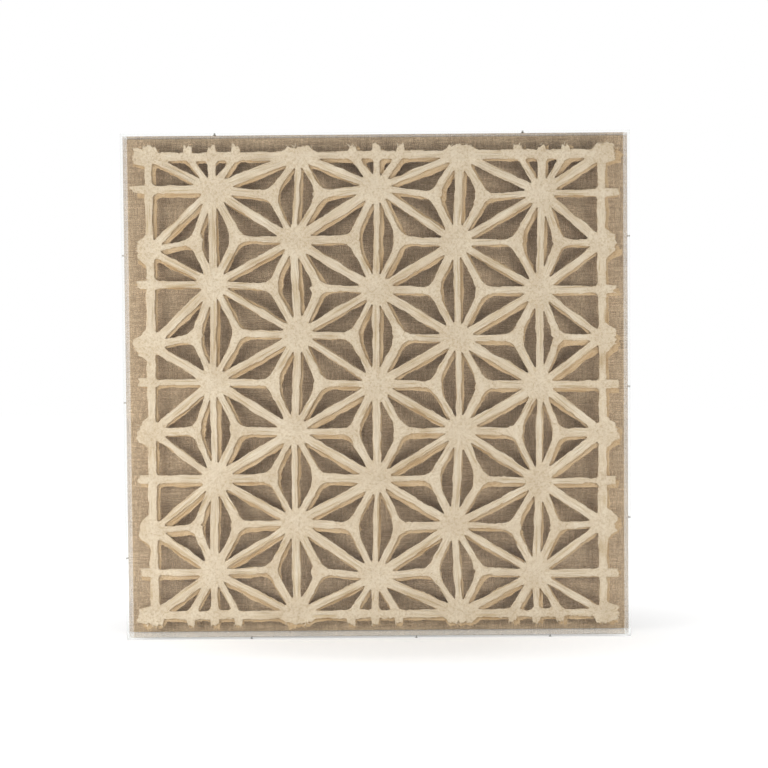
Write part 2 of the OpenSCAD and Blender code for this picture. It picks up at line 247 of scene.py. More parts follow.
class PaperSettings(bpy.types.PropertyGroup):
    """Sizes and colours of the paper sheets"""

    thickness: FloatProperty(
        name="Thickness", description="Thickness of a sheet at its hubs",
        default=0.0016, unit="LENGTH", subtype="DISTANCE")
    long_width: FloatProperty(
        name="Long strips", description="Width of the slanting strips between hubs",
        default=0.0125, unit="LENGTH", subtype="DISTANCE")
    upright_width: FloatProperty(
        name="Upright strips", description="Width of the upright strips between hubs",
        default=0.011, unit="LENGTH", subtype="DISTANCE")
    short_width: FloatProperty(
        name="Short strips", description="Width of the strips between hubs and forks",
        default=0.011, unit="LENGTH", subtype="DISTANCE")
    border_width: FloatProperty(
        name="Border", description="Width of the strips round the border",
        default=0.013, unit="LENGTH", subtype="DISTANCE")
    ragged: FloatProperty(
        name="Ragged edge", description="How far a torn edge wanders",
        default=0.0006, unit="LENGTH", subtype="DISTANCE")
    swell: FloatProperty(
        name="Swell", description="How far strips swell out of the sheet between hubs",
        default=0.0002, unit="LENGTH", subtype="DISTANCE")
    twist: FloatProperty(
        name="Twist", description="Slope to which a strip may twist",
        default=0.04, min=0.0, max=0.5)
    light_colour: FloatVectorProperty(
        name="Light pulp", description="Palest tone of the paper",
        default=(0.727, 0.634, 0.506), size=3, subtype="COLOR", min=0.0, max=1.0)
    deep_colour: FloatVectorProperty(
        name="Deep pulp", description="Deepest tone of the paper",
        default=(0.624, 0.521, 0.394), size=3, subtype="COLOR", min=0.0, max=1.0)
    # Painted shade: a deeper tone laid along every strip edge, where the edge turns down, and faintly on the
    # back of the strips and on the loose fibres
    edge_shade_colour: FloatVectorProperty(
        name="Rim", description="Tone of the torn edges",
        default=(0.56, 0.40, 0.22), size=3, subtype="COLOR", min=0.0, max=1.0)


class LinenSettings(bpy.types.PropertyGroup):
    """Sizes and colours of the linen"""

    thickness: FloatProperty(
        name="Thickness", description="Thickness of the cloth",
        default=0.0006, unit="LENGTH", subtype="DISTANCE")
    hem: FloatProperty(
        name="Hem", description="Width of the hem turned in at the back",
        default=0.028, unit="LENGTH", subtype="DISTANCE")
    edge_round: FloatProperty(
        name="Edge rounding", description="Radius at which the cloth turns over the board's edge",
        default=0.0014, unit="LENGTH", subtype="DISTANCE")
    pitch: FloatProperty(
        name="Thread pitch", description="Distance from thread to thread",
        default=0.0016, unit="LENGTH", subtype="DISTANCE")
    warp_colour: FloatVectorProperty(
        name="Light thread", description="Tone of the pale threads",
        default=(0.715, 0.535, 0.352), size=3, subtype="COLOR", min=0.0, max=1.0)
    weft_colour: FloatVectorProperty(
        name="Deep thread", description="Tone of the deep threads",
        default=(0.35, 0.246, 0.154), size=3, subtype="COLOR", min=0.0, max=1.0)


class CaseSettings(bpy.types.PropertyGroup):
    """Finish of the clear box frame"""

    tint: FloatVectorProperty(
        name="Tint", description="Colour of light through the acrylic",
        default=(0.985, 0.99, 0.985), size=3, subtype="COLOR", min=0.0, max=1.0)
    roughness: FloatProperty(
        name="Roughness", description="Roughness of the polished faces",
        default=0.015, min=0.0, max=1.0)
    glare: FloatProperty(
        name="Glare", description="Share of the usual reflection that the coated front panel keeps",
        default=0.3, min=0.0, max=1.0)
    wall_glare: FloatProperty(
        name="Wall glare", description="Share of the usual reflection that the walls keep",
        default=0.5, min=0.0, max=1.0)
    joint: FloatProperty(
        name="Joint", description="How far each panel keeps clear of its neighbours",
        default=0.00004, unit="LENGTH", subtype="DISTANCE")
    bevel: FloatProperty(
        name="Arris", description="Width of the broken edges",
        default=0.0003, unit="LENGTH", subtype="DISTANCE")


class BackSettings(bpy.types.PropertyGroup):
    """Colours of the panel's back and the spacer pads"""

    pine_light: FloatVectorProperty(
        name="Early wood", description="Pale bands of the pine",
        default=(0.72, 0.53, 0.33), size=3, subtype="COLOR", min=0.0, max=1.0)
    pine_deep: FloatVectorProperty(
        name="Late wood", description="Deep bands of the pine",
        default=(0.50, 0.30, 0.14), size=3, subtype="COLOR", min=0.0, max=1.0)
    board: FloatVectorProperty(
        name="Fibreboard", description="Tone of the board",
        default=(0.40, 0.27, 0.165), size=3, subtype="COLOR", min=0.0, max=1.0)
    card: FloatVectorProperty(
        name="Card", description="Tone of the spacer pads",
        default=(0.70, 0.62, 0.49), size=3, subtype="COLOR", min=0.0, max=1.0)
    zinc: FloatVectorProperty(
        name="Zinc", description="Tone of the screws and hangers",
        default=(0.62, 0.62, 0.60), size=3, subtype="COLOR", min=0.0, max=1.0)


class StageSettings(bpy.types.PropertyGroup):
    """Light and camera"""

    world: FloatProperty(
        name="Room light", description="Strength of the light from all round", default=0.26, min=0.0)
    key: FloatProperty(
        name="Key lamp", description="Power of the soft lamp on the left",
        default=13.6, min=0.0, unit="POWER")
    fill: FloatProperty(
        name="Fill lamp", description="Power of the soft lamp on the right",
        default=10.6, min=0.0, unit="POWER")
    low: FloatProperty(
        name="Low lamp", description="Power of the lamp near the floor in front",
        default=0.30, min=0.0, unit="POWER")
    high: FloatProperty(
        name="High lamp", description="Power of the lamp above the front",
        default=0.95, min=0.0, unit="POWER")
    lens: FloatProperty(
        name="Lens", description="Focal length of the camera, in millimetres",
        default=92.2, min=1.0, subtype="DISTANCE_CAMERA")


class PaperArtSettings(bpy.types.PropertyGroup):
    """All settings of the piece"""

    paper: PointerProperty(type=PaperSettings)
    linen: PointerProperty(type=LinenSettings)
    case: PointerProperty(type=CaseSettings)
    back: PointerProperty(type=BackSettings)
    stage: PointerProperty(type=StageSettings)


# Meshes


def put_mesh(name, points, quads, uv, marks):
    """Makes an object from points, four corners a face and a flat map. Points at one place are welded,
    a face with a doubled corner becomes a triangle, and one with fewer corners is left out."""
    key = np.round(points / WELD + WELD_SHIFT).astype(np.int64)
    _, first, place = np.unique(key, axis=0, return_index=True, return_inverse=True)
    corners = place.ravel()[quads]
    keep = corners != np.roll(corners, -1, axis=1)
    whole = keep.sum(axis=1) >= 3
    corners, keep, uv = corners[whole], keep[whole], uv[whole]
    totals = keep.sum(axis=1)
    starts = np.cumsum(totals) - totals
    mesh = bpy.data.meshes.new(name)
    mesh.vertices.add(len(first))
    mesh.vertices.foreach_set("co", points[first].astype(np.float32).ravel())
    mesh.loops.add(int(totals.sum()))
    mesh.loops.foreach_set("vertex_index", corners[keep].astype(np.int32))
    mesh.polygons.add(len(totals))
    mesh.polygons.foreach_set("loop_start", starts.astype(np.int32))
    mesh.update(calc_edges=True)
    layer = mesh.uv_layers.new(name="flat")
    layer.data.foreach_set("uv", uv[keep].astype(np.float32).ravel())
    for mark, values in marks.items():
        attribute = mesh.attributes.new(mark, "FLOAT", "POINT")
        attribute.data.foreach_set("value", values[first].astype(np.float32))
    if mesh.validate():
        raise RuntimeError(f"{name} has faulty faces")
    piece = bpy.data.objects.new(name, mesh)
    bpy.context.scene.collection.objects.link(piece)
    return piece


def smooth(piece, degrees):
    """Shades a piece smooth, with edges sharper than that angle kept."""
    piece.data.polygons.foreach_set("use_smooth", np.ones(len(piece.data.polygons), bool))
    piece.data.set_sharp_from_angle(angle=math.radians(degrees))


def finish_piece(piece, slot, material, *nodes):
    """Gives a new piece its finish, sets it on the body and lets it stand for its CAD nodes."""
    piece.data.materials.append(material)
    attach(piece, "root")
    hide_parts(*nodes)


def dress(material, *nodes):
    """Gives CAD nodes a finish."""
    for name in nodes:
        NODES[name].data.materials.clear()
        NODES[name].data.materials.append(material)


def arris(width, joint, degrees, *nodes):
    """Breaks the sharp edges of CAD nodes: their loose triangles are welded and drawn in by the joint,
    then edges sharper than that angle are bevelled."""
    for name in nodes:
        weld = NODES[name].modifiers.new("weld", "WELD")
        weld.merge_threshold = SOLID_WELD
        shrink = NODES[name].modifiers.new("joint", "DISPLACE")
        shrink.strength = -joint
        shrink.mid_level = 0.0
        bevel = NODES[name].modifiers.new("arris", "BEVEL")
        bevel.width = width
        bevel.segments = ARRIS_SEGMENTS
        bevel.limit_method = "ANGLE"
        bevel.angle_limit = math.radians(degrees)
        bevel.harden_normals = False


def grid_quads(columns, rows, first=0):
    """Corners of the faces of a grid whose points are numbered row by row within a column."""
    column = np.arange(columns - 1)[:, None] * rows
    row = np.arange(rows - 1)[None, :]
    at = first + column + row
    return np.stack([at, at + rows, at + rows + 1, at + 1], axis=-1).reshape(-1, 4)


def ripple(x, z, length, seed):
    """An uneven surface of about unit size: the sum of sines that run in random ways over the sheet, with
    wavelengths near the given length."""
    draw = np.random.default_rng(seed)
    way = draw.uniform(0.0, math.pi, WAVE_COUNT)
    wave = 2 * math.pi / (length * draw.uniform(*WAVE_SPREAD, WAVE_COUNT))
    phase = draw.uniform(0.0, 2 * math.pi, WAVE_COUNT)
    angle = wave * (x[..., None] * np.cos(way) + z[..., None] * np.sin(way)) + phase
    return np.sin(angle).sum(axis=-1) / math.sqrt(WAVE_COUNT / 2)


def ripples(flat, sheet, waves):
    """The sum of ripples at points of a sheet, each of its own size, wavelength and seed."""
    x, z = flat[..., 0], flat[..., 1]
    return sum(size * ripple(x, z, length, seed + sheet) for size, length, seed in waves)


def soft_step(low, high, value):
    """Zero below low, one above high, and 3t^2 - 2t^3 between."""
    t = np.clip((value - low) / (high - low), 0.0, 1.0)
    return t * t * (3 - 2 * t)


def unit(v):
    """Vectors of length one."""
    return v / np.linalg.norm(v, axis=-1, keepdims=True)


# The lattice


def stray(a, b, k):
    """A repeatable number from -1 to 1: the sine of 137a + 211b + 97k degrees."""
    return np.sin(np.radians(137 * a + 211 * b + 97 * k))


def hub_move(i, j):
    """How far the drawn hub in column i and row j lies from the even lattice, in metres."""
    past_i, past_j = abs(i) > INNER_COLUMNS, abs(j) > INNER_ROWS
    if past_i and past_j:
        return np.zeros(2)
    if past_i:
        return np.array([0.0, SIDE_HUB_MOVES[int(i > 0)][(j + INNER_ROWS - 1) // 2]]) * MM
    if past_j:
        return np.array([END_HUB_MOVES[int(j > 0)][(i + INNER_COLUMNS - 1) // 2], 0.0]) * MM
    return np.array(HUB_MOVES[i + INNER_COLUMNS][(j + INNER_ROWS - abs(i) % 2) // 2]) * MM


def hub(sheet, i, j):
    """A hub where strips meet: x, z and its two place numbers. Past the inner ones it is on the border."""
    away = np.array([stray(i, j, HUB_SEEDS[0]), stray(j, i, HUB_SEEDS[1])])
    x, z = hub_move(i, j) + HUB_STRAY[sheet] * away
    x = np.sign(i) * BORDER_X if abs(i) > INNER_COLUMNS else i * COLUMN_STEP + x
    z = np.sign(j) * BORDER_Z if abs(j) > INNER_ROWS else j * ROW_STEP + z
    return np.array([x, z, PLACES * i, j], float)


def fork(a, b, c):
    """A fork inside three hubs: their mean, leaning away from the hub that stands apart."""
    middle = (a + b + c) / 3
    middle[0] += np.sign(a[2] - c[2]) * FORK_LEAN
    return middle


def side_foot(sheet, side, j):
    """Where the level strip of a side hub meets the border."""
    z = hub(sheet, side * INNER_COLUMNS, j)[1]
    return np.array([side * BORDER_X, z, side * PLACES * (INNER_COLUMNS + 1), j], float)


def end_foot(sheet, i, end, lean):
    """Where a strip of a top or bottom hub meets the border."""
    x = hub(sheet, i, end * INNER_ROWS)[0] + lean * FOOT_SPREAD
    return np.array([x, end * BORDER_Z, PLACES * i + lean, end * (INNER_ROWS + 1)], float)


def openings(sheet, paper):
    """Knots, half widths and corner rounding of a sheet's openings, all the same way round. Each opening is
    a triangle of strips, and its numbers go round from knot to knot."""
    long_w, upright_w = paper.long_width, paper.upright_width
    short_w, border_w = paper.short_width, paper.border_width
    round_lens = (HUB_ROUND, HUB_ROUND, LENS_ROUND)
    round_fork = (HUB_ROUND, HUB_ROUND, FORK_ROUND)
    round_foot = (HUB_ROUND, BORDER_ROUND, HUB_ROUND)
    round_end = (HUB_ROUND, BORDER_ROUND, BORDER_ROUND)
    found = []
    for i in range(-INNER_COLUMNS, INNER_COLUMNS + 1):
        last = INNER_ROWS - 1 + abs(i) % 2
        for j in range(-last, last + 1, 2):
            for side in (-1, 1):
                a, b, c = hub(sheet, i, j - 1), hub(sheet, i, j + 1), hub(sheet, i + side, j)
                y = fork(a, b, c)
                found.append(((a, b, y), (upright_w, short_w, short_w), round_lens))
                found.append(((b, c, y), (long_w, short_w, short_w), round_fork))
                found.append(((c, a, y), (long_w, short_w, short_w), round_fork))
    for side in (-1, 1):
        for j in range(-INNER_ROWS, INNER_ROWS + 1, 2):
            h, f = hub(sheet, side * INNER_COLUMNS, j), side_foot(sheet, side, j)
            for up in (-1, 1):
                k = hub(sheet, side * (INNER_COLUMNS + 1), j + up)
                found.append(((h, f, k), (short_w, border_w, long_w), round_foot))
    for i in range(-INNER_COLUMNS, INNER_COLUMNS + 1, 2):
        for end in (-1, 1):
            for lean in (-1, 1):
                h, f = hub(sheet, i, end * INNER_ROWS), end_foot(sheet, i, end, 0)
                g, k = end_foot(sheet, i, end, lean), hub(sheet, i + lean, end * (INNER_ROWS + 1))
                found.append(((h, f, g), (upright_w, border_w, short_w), round_end))
                found.append(((h, g, k), (short_w, border_w, long_w), round_foot))
    knots = np.array([f[0] for f in found])
    widths = np.array([f[1] for f in found])
    rounds = np.array([f[2] for f in found])
    p = knots[..., :2]
    first, second = p[:, 1] - p[:, 0], p[:, 2] - p[:, 0]
    turned = first[:, 0] * second[:, 1] - first[:, 1] * second[:, 0] < 0
    knots[turned] = knots[turned][:, ::-1]
    widths[turned] = widths[turned][:, [1, 0, 2]]
    rounds[turned] = rounds[turned][:, ::-1]
    places = knots[..., 2:] + np.roll(knots[..., 2:], -1, axis=1)
    uneven = stray(places[..., 0], places[..., 1], sheet + WIDTH_SEED)
    halves = widths / 2 * (1 + WIDTH_STRAY * uneven)
    return knots, halves, rounds


def strip_shares(steps):
    """Places of a strip's columns as shares of its length: close together at both ends."""
    bend, run = steps
    return np.concatenate([
        np.linspace(0.0, BEND_SHARE, bend + 1)[:-1],
        np.linspace(BEND_SHARE, 1 - BEND_SHARE, run + 1),
        np.linspace(1 - BEND_SHARE, 1.0, bend + 1)[1:],
    ])


def opening_edges(knots, halves, rounds, steps):
    """Edges of the openings, one row of points for each of their sides, and their corners. A corner is the
    crossing of the two strips' edges, and a quadratic curve with its control there rounds it; a side runs
    from the middle of one such curve to the middle of the next."""
    bend, run = steps
    p = knots[..., :2]
    to_next, to_last = unit(np.roll(p, -1, 1) - p), unit(np.roll(p, 1, 1) - p)
    cross = np.abs(to_next[..., 0] * to_last[..., 1] - to_next[..., 1] * to_last[..., 0])[..., None]
    corner = p + (to_next * np.roll(halves, 1, 1)[..., None] + to_last * halves[..., None]) / cross
    ahead, behind = np.roll(corner, -1, 1) - corner, np.roll(corner, 1, 1) - corner
    shorter = np.minimum(np.linalg.norm(ahead, axis=-1), np.linalg.norm(behind, axis=-1))
    reach = np.minimum(rounds, ROUND_SHARE * shorter)[..., None]
    start, end = corner + unit(behind) * reach, corner + unit(ahead) * reach

    def curve(a, b, c, u):
        """Points of the quadratic curve a(1 - u)^2 + 2bu(1 - u) + cu^2."""
        u = u[None, None, :, None]
        return a[:, :, None] * (1 - u) ** 2 + b[:, :, None] * 2 * u * (1 - u) + c[:, :, None] * u ** 2

    leaving = curve(start, corner, end, np.linspace(0.5, 1.0, bend + 1))
    following = (np.roll(v, -1, 1) for v in (start, corner, end))
    arriving = curve(*following, np.linspace(0.0, 0.5, bend + 1))
    t = np.linspace(0.0, 1.0, run + 1)[None, None, :, None]
    straight = end[:, :, None] * (1 - t) + np.roll(start, -1, 1)[:, :, None] * t
    return np.concatenate([leaving[:, :, :-1], straight, arriving[:, :, 1:]], axis=2), corner


def border_stubs(sheet, upright, sign):
    """Strip ends along one border: place, width at root and tip, and length at both edges of the tip."""
    length = SIDE_STUB_L if upright else END_STUB_L
    reach = BORDER_Z if upright else BORDER_X
    places = [(-reach, CORNER_STUB), (reach, CORNER_STUB)]
    steps = INNER_ROWS if upright else INNER_COLUMNS
    for n in range(-steps, steps + 1):
        if upright and n % 2 == 0:
            places.append((side_foot(sheet, sign, n)[1], THIN_STUB))
        elif upright:
            places.append((hub(sheet, sign * (INNER_COLUMNS + 1), n)[1], SIDE_STUB))
        elif n % 2 == 0:
            places += [(end_foot(sheet, n, sign, lean)[0], THIN_STUB) for lean in (-1, 0, 1)]
        else:
            places.append((hub(sheet, n, sign * (INNER_ROWS + 1))[0], END_STUB))
    stubs = []
    for at, (root, tip) in sorted(places):
        mm = at / MM
        wide = tip * (1 + STUB_STRAY * stray(mm, sheet, STUB_WIDTH_SEED))
        ends = [length * (1 + STUB_STRAY * stray(mm, sheet, k)) for k in STUB_END_SEEDS]
        stubs.append((at, root, wide, *ends))
    return np.array(stubs)


def stub_outline(stubs):
    """Outline of the strip ends along a border, as points along it and out from it, with the distance
    walked, in which the way out counts for less."""
    at, root, tip, low, high = stubs.T
    none = np.zeros_like(at)
    along = np.stack([at - root / 2, at - tip / 2, at + tip / 2, at + root / 2], axis=-1).ravel()
    out = np.stack([none, low, high, none], axis=-1).ravel()
    walked = np.concatenate([[0.0], np.cumsum(np.hypot(np.diff(along), OUT_WEIGHT * np.diff(out)))])
    return along, out, walked


def walk_outline(outline, first, last, columns):
    """Points of that outline from one knot to another, evenly spaced by the distance walked."""
    along, out, walked = outline
    start, end = np.interp(first, along, walked), np.interp(last, along, walked)
    s = start[:, None] + (end - start)[:, None] * np.linspace(0.0, 1.0, columns)
    return np.interp(s, walked, along), np.interp(s, walked, out)


def strip_rows(line, edge, sheet, paper, free, twist, torn):
    """Points of strips between their middle line and their edge: four rows on the front, closing in on the
    edge, and one at the back. A row's height is the sheet's thickness times its rise; strips swell and
    twist where they are free of their knots."""
    reach = np.linalg.norm(edge - line, axis=-1)
    outer, inner = (np.minimum(d, most * reach) for d, most in EDGE_ROWS)
    near = np.zeros_like(reach)
    v = np.stack([near, 1 - outer / reach, 1 - inner / reach, near + 1], axis=-1)
    flat = line[..., None, :] + (edge - line)[..., None, :] * v[..., None]
    x, z = flat[..., 0], flat[..., 1]
    far = reach[..., None] * v
    depth = paper.thickness * (1 + ripples(flat, sheet, THICKNESS_WAVES))
    curl = torn[..., None] * v * (TEAR_RISE + ripples(flat, sheet, CURL_WAVES))
    rise = (depth + curl) * ROW_RISE
    lift = free[..., None] * (paper.swell * ripples(flat, sheet, SWELL_WAVES) + twist[..., None] * far)
    y = SHEET_BACK_Y[sheet] + lift
    slip = SHEET_SLIP[sheet]
    front = np.stack([x + slip[0], y - rise, z + MIDDLE_Z + slip[1]], axis=-1)
    rear = np.stack([x[..., :1] + slip[0], y[..., :1], z[..., :1] + MIDDLE_Z + slip[1]], axis=-1)
    # Painted shade: one at a strip's edge, falling to nothing within the reach set above
    rim = 1 - np.clip((reach[..., None] - far) / EDGE_SHADE_REACH, 0, 1)
    return np.concatenate([front, rear], axis=-2), far, rim


def row_quads(index):
    """Faces of runs of columns: bands between the rows on the front, and one on the back."""
    now, then = index[..., :-1, :], index[..., 1:, :]
    last = ROWS - 1
    bands = []
    for r in range(last - 1):
        bands.append((now[..., r], then[..., r], then[..., r + 1], now[..., r + 1]))
    bands.append((then[..., last], now[..., last], now[..., last - 1], then[..., last - 1]))
    return np.concatenate([np.stack(b, axis=-1).reshape(-1, 4) for b in bands])


def strip_block(line, edge, sheet, paper, shares, onward, turn, torn, length, places):
    """Points, faces, flat map and marks of bands of strips, one row of columns for each band."""
    free = soft_step(*FLAT_REACH, np.minimum(shares, 1 - shares) * length[:, None])
    twist = turn[:, None] * onward[:, None] * np.ones_like(free)
    points, far, rim = strip_rows(line, edge, sheet, paper, free, twist, torn)
    index = np.arange(points.shape[0] * points.shape[1] * ROWS).reshape(points.shape[:3])
    quads = row_quads(index)
    along = np.where(onward[:, None] > 0, shares, 1 - shares) * length[:, None]
    along = along + (MAP_SHIFT[0] * places[:, 0] + MAP_SHIFT[1] * places[:, 1])[:, None]
    across = np.concatenate([onward[:, None, None] * far, np.zeros_like(far[..., :1])], axis=-1)
    uv = np.stack([np.repeat(along[..., None], ROWS, axis=-1), across], axis=-1).reshape(-1, 2)[quads]
    # Painted edge shade, with a share of it on the rear face of the strips
    marks = {
        "rim": np.concatenate([rim, np.full_like(rim[..., :1], REAR_EDGE_SHADE)], axis=-1).ravel(),
        "strand": np.repeat(free.ravel(), ROWS),
    }
    return points.reshape(-1, 3), quads, uv, marks


def torn_edges(sheet, paper, knots, halves, rounds, steps):
    """Ragged edges of the openings, and how torn they are: most at the blunt corner of a fork."""
    edge, corner = opening_edges(knots, halves, rounds, steps)
    lens = rounds == LENS_ROUND
    near = np.linalg.norm(edge[:, :, :, None] - corner[:, None, None], axis=-1)
    torn = (np.exp(-(near / TEAR_REACH) ** 2) * lens[:, None, None]).max(axis=-1)
    tear = TEAR_DEPTH + ripples(edge, sheet, TEAR_WAVES)
    return edge, torn, ragged_edge(edge, sheet, paper) + torn * tear


def moved_out(line, edge, jag):
    """An edge moved away from its strip's middle line, or toward it by at most a third of the way."""
    half = np.linalg.norm(edge - line, axis=-1)
    return edge + unit(edge - line) * np.maximum(jag, -INWARD_MOST * half)[..., None]


def paper_sheet(sheet, paper, name):
    """One sheet of the lattice. Round each opening runs a band from the middle lines of its three strips to
    its ragged edge; outside the border runs a band to the frayed strip ends; a fan closes each corner."""
    knots, halves, rounds = openings(sheet, paper)
    p, ahead = knots[..., :2], np.roll(knots[..., :2], -1, 1)
    key = knots[..., 2] * COLUMN_KEY + knots[..., 3]
    onward = np.where(key < np.roll(key, -1, 1), 1.0, -1.0)
    places = knots[..., 2:] + np.roll(knots[..., 2:], -1, 1)
    turn = paper.twist * stray(places[..., 0], places[..., 1], sheet + TWIST_SEED)
    length = np.linalg.norm(ahead - p, axis=-1)
    on_border = np.abs(np.abs(p) - np.array([BORDER_X, BORDER_Z])) < WELD
    on_side, on_end = np.moveaxis(on_border & (np.abs(p - ahead) < WELD), -1, 0)
    inner = ~(on_side | on_end)

    t = strip_shares(INNER_STEPS)
    edge, torn, jag = (v[inner] for v in torn_edges(sheet, paper, knots, halves, rounds, INNER_STEPS))
    line = p[inner][:, None] * (1 - t)[:, None] + ahead[inner][:, None] * t[:, None]
    shares = np.broadcast_to(t, line.shape[:2])
    run = (onward[inner], turn[inner], torn, length[inner], places[inner])
    blocks = [strip_block(line, moved_out(line, edge, jag), sheet, paper, shares, *run)]

    all_edges, all_torn, all_jag = torn_edges(sheet, paper, knots, halves, rounds, BORDER_STEPS)
    for upright, chosen in ((True, on_side), (False, on_end)):
        for sign in (-1, 1):
            axis = 0 if upright else 1
            mine = chosen & (np.sign(p[..., axis]) == sign)
            first, last = p[mine][:, 1 - axis], ahead[mine][:, 1 - axis]
            outline = stub_outline(border_stubs(sheet, upright, sign))
            along, out = walk_outline(outline, first, last, all_edges.shape[2])
            shares = (along - first[:, None]) / (last - first)[:, None]
            line = p[mine][:, None] * (1 - shares)[..., None] + ahead[mine][:, None] * shares[..., None]
            run = (onward[mine], turn[mine], all_torn[mine], length[mine], places[mine])
            edge = moved_out(line, all_edges[mine], all_jag[mine])
            blocks.append(strip_block(line, edge, sheet, paper, shares, *run))
            way = np.zeros_like(line)
            way[..., axis] = sign
            share = np.clip(out / END_STUB_L, 0.0, 1.0)
            edge = line + way * (paper.border_width / 2 + out)[..., None]
            edge = frayed(edge, line, way, share, sheet, paper)
            line, edge, shares, share = (v[:, ::-1] for v in (line, edge, 1 - shares, share))
            run = (-onward[mine], turn[mine], STUB_TORN * share, length[mine], places[mine])
            blocks.append(strip_block(line, edge, sheet, paper, shares, *run))
    for sign_x in (-1, 1):
        for sign_z in (-1, 1):
            blocks.append(corner_fan(sheet, paper, sign_x, sign_z))
    blocks.append(tufts(sheet, paper))

    points = np.concatenate([b[0] for b in blocks])
    first = np.cumsum([0] + [len(b[0]) for b in blocks])
    quads = np.concatenate([b[1] + n for b, n in zip(blocks, first)])
    uv = np.concatenate([b[2] for b in blocks])
    marks = {m: np.concatenate([b[3][m] for b in blocks]) for m in ("rim", "strand")}
    piece = put_mesh(name, points, quads, uv, marks)
    smooth(piece, PAPER_SHARP)
    return piece


def ragged_edge(edge, sheet, paper):
    """How far an edge wanders at its points: long lobes, short lobes and a small tear."""
    return paper.ragged * ripples(edge, sheet, RAGGED_WAVES)


def frayed(edge, base, way, share, sheet, paper):
    """Moves the outer edge: a little out and in along the border, and both ways at the strip ends. How far
    goes by the place of the edge's base, so that the sides of a strip end don't fold over."""
    out = ragged_edge(base, sheet, paper) + share * ripples(base, sheet, FRAY_WAVES)
    over = share * ripples(base, sheet, LEAN_WAVES)
    turned = np.stack([-way[..., 1], way[..., 0]], axis=-1)
    return edge + way * out[..., None] + turned * over[..., None]


def corner_fan(sheet, paper, sign_x, sign_z):
    """The outer corner of the border: rays from the corner knot to the outline of the lump there, which is a
    rectangle with its outer corner cut off."""
    knot = np.array([sign_x * BORDER_X, sign_z * BORDER_Z])
    half = paper.border_width / 2
    side_stubs, end_stubs = border_stubs(sheet, True, sign_x), border_stubs(sheet, False, sign_z)
    side = half + np.interp(knot[1], *stub_outline(side_stubs)[:2])
    end = half + np.interp(knot[0], *stub_outline(end_stubs)[:2])
    tip = CORNER_STUB[1] / 2
    cut = np.array([end - tip, side - tip])
    angle = np.linspace(0.0, math.pi / 2, FAN_STEPS + 1)
    c, s = np.maximum(np.cos(angle), TINY), np.maximum(np.sin(angle), TINY)
    slant = cut @ np.array([tip, end]) / (cut[0] * c + cut[1] * s)
    reach = np.minimum(np.minimum(side / c, end / s), slant)
    way = np.stack([np.cos(angle) * sign_x, np.sin(angle) * sign_z], axis=-1)
    shares = np.clip((np.array([side, end]) - half) / END_STUB_L, 0.0, 1.0)
    share = np.interp(angle, angle[[0, -1]], shares)
    if sign_x * sign_z > 0:
        way, reach, share = way[::-1], reach[::-1], share[::-1]
    base = knot + way * (np.sin(2 * angle) * reach)[:, None]
    edge = frayed(knot + way * reach[:, None], base, way, share, sheet, paper)[None]
    line = np.broadcast_to(knot, edge.shape)
    none = np.zeros(1)
    shares = np.zeros(edge.shape[:2])
    torn = STUB_TORN * share[None]
    return strip_block(line, edge, sheet, paper, shares, none + 1, none, torn, none, np.zeros((1, 2)))


def tufts(sheet, paper):
    """Loose fibres at the strip ends: spindles along bent paths. Across a path the section is a flat
    diamond, whose width grows and dwindles with the root of the sine along it."""
    draw = np.random.default_rng(TUFT_SEED + sheet)
    slip = SHEET_SLIP[sheet]
    base, heading = [], []
    for upright in (True, False):
        for sign in (-1, 1):
            for at, root, tip, low, high in border_stubs(sheet, upright, sign):
                count = 1 + int(tip / TUFT_SPACING)
                place = at + draw.uniform(-TUFT_SPREAD, TUFT_SPREAD, count) * tip
                out = paper.border_width / 2 + TUFT_OUT * (low + high) / 2 * np.ones(count)
                edge = sign * ((BORDER_X if upright else BORDER_Z) + out)
                base.append(np.stack([edge, place] if upright else [place, edge], axis=-1))
                outward = math.pi / 2 * (1 - sign if upright else sign)
                heading.append(outward + draw.uniform(-TUFT_TURN, TUFT_TURN, count))
    base, heading = np.concatenate(base), np.concatenate(heading)
    count = len(base)
    long = draw.uniform(*TUFT_LONG, count)
    half = draw.uniform(*TUFT_HALF, count)
    bend = draw.uniform(-TUFT_BEND, TUFT_BEND, count)
    lift = draw.uniform(*TUFT_LIFT, count)
    s = np.linspace(0.0, 1.0, TUFT_STEPS + 1)
    way = np.stack([np.cos(heading), np.sin(heading)], axis=-1)
    side = np.stack([-way[:, 1], way[:, 0]], axis=-1)
    path = base[:, None] + (long[:, None] * (s - TUFT_SET_IN))[..., None] * way[:, None]
    path = path + (long * bend)[:, None, None] * (s ** 2)[None, :, None] * side[:, None]
    wide = half[:, None] * np.sqrt(np.maximum(np.sin(math.pi * s), 0.0))
    middle = SHEET_BACK_Y[sheet] - paper.thickness / 2 + lift[:, None] * s
    ring = []
    for over, up in ((-1, 0), (0, -TUFT_FLATNESS), (1, 0), (0, TUFT_FLATNESS)):
        flat = path + (over * wide)[..., None] * side[:, None]
        x, z = flat[..., 0] + slip[0], flat[..., 1] + MIDDLE_Z + slip[1]
        ring.append(np.stack([x, middle + up * wide, z], axis=-1))
    points = np.stack(ring, axis=2)
    index = np.arange(count * (TUFT_STEPS + 1) * 4).reshape(count, TUFT_STEPS + 1, 4)
    turned = np.roll(index, -1, axis=2)
    corners = (index[:, :-1], turned[:, :-1], turned[:, 1:], index[:, 1:])
    quads = np.stack(corners, axis=-1).reshape(-1, 4)
    along = np.broadcast_to((long[:, None] * s)[..., None], points.shape[:3])
    across = wide[..., None] * np.array([-1.0, 0.0, 1.0, 0.0])
    uv = np.stack([along, across], axis=-1).reshape(-1, 2)[quads]
    # Loose fibres take a share of the painted edge shade
    marks = {"rim": np.full(index.size, TUFT_EDGE_SHADE), "strand": np.ones(index.size)}
    return points.reshape(-1, 3), quads, uv, marks


# The linen


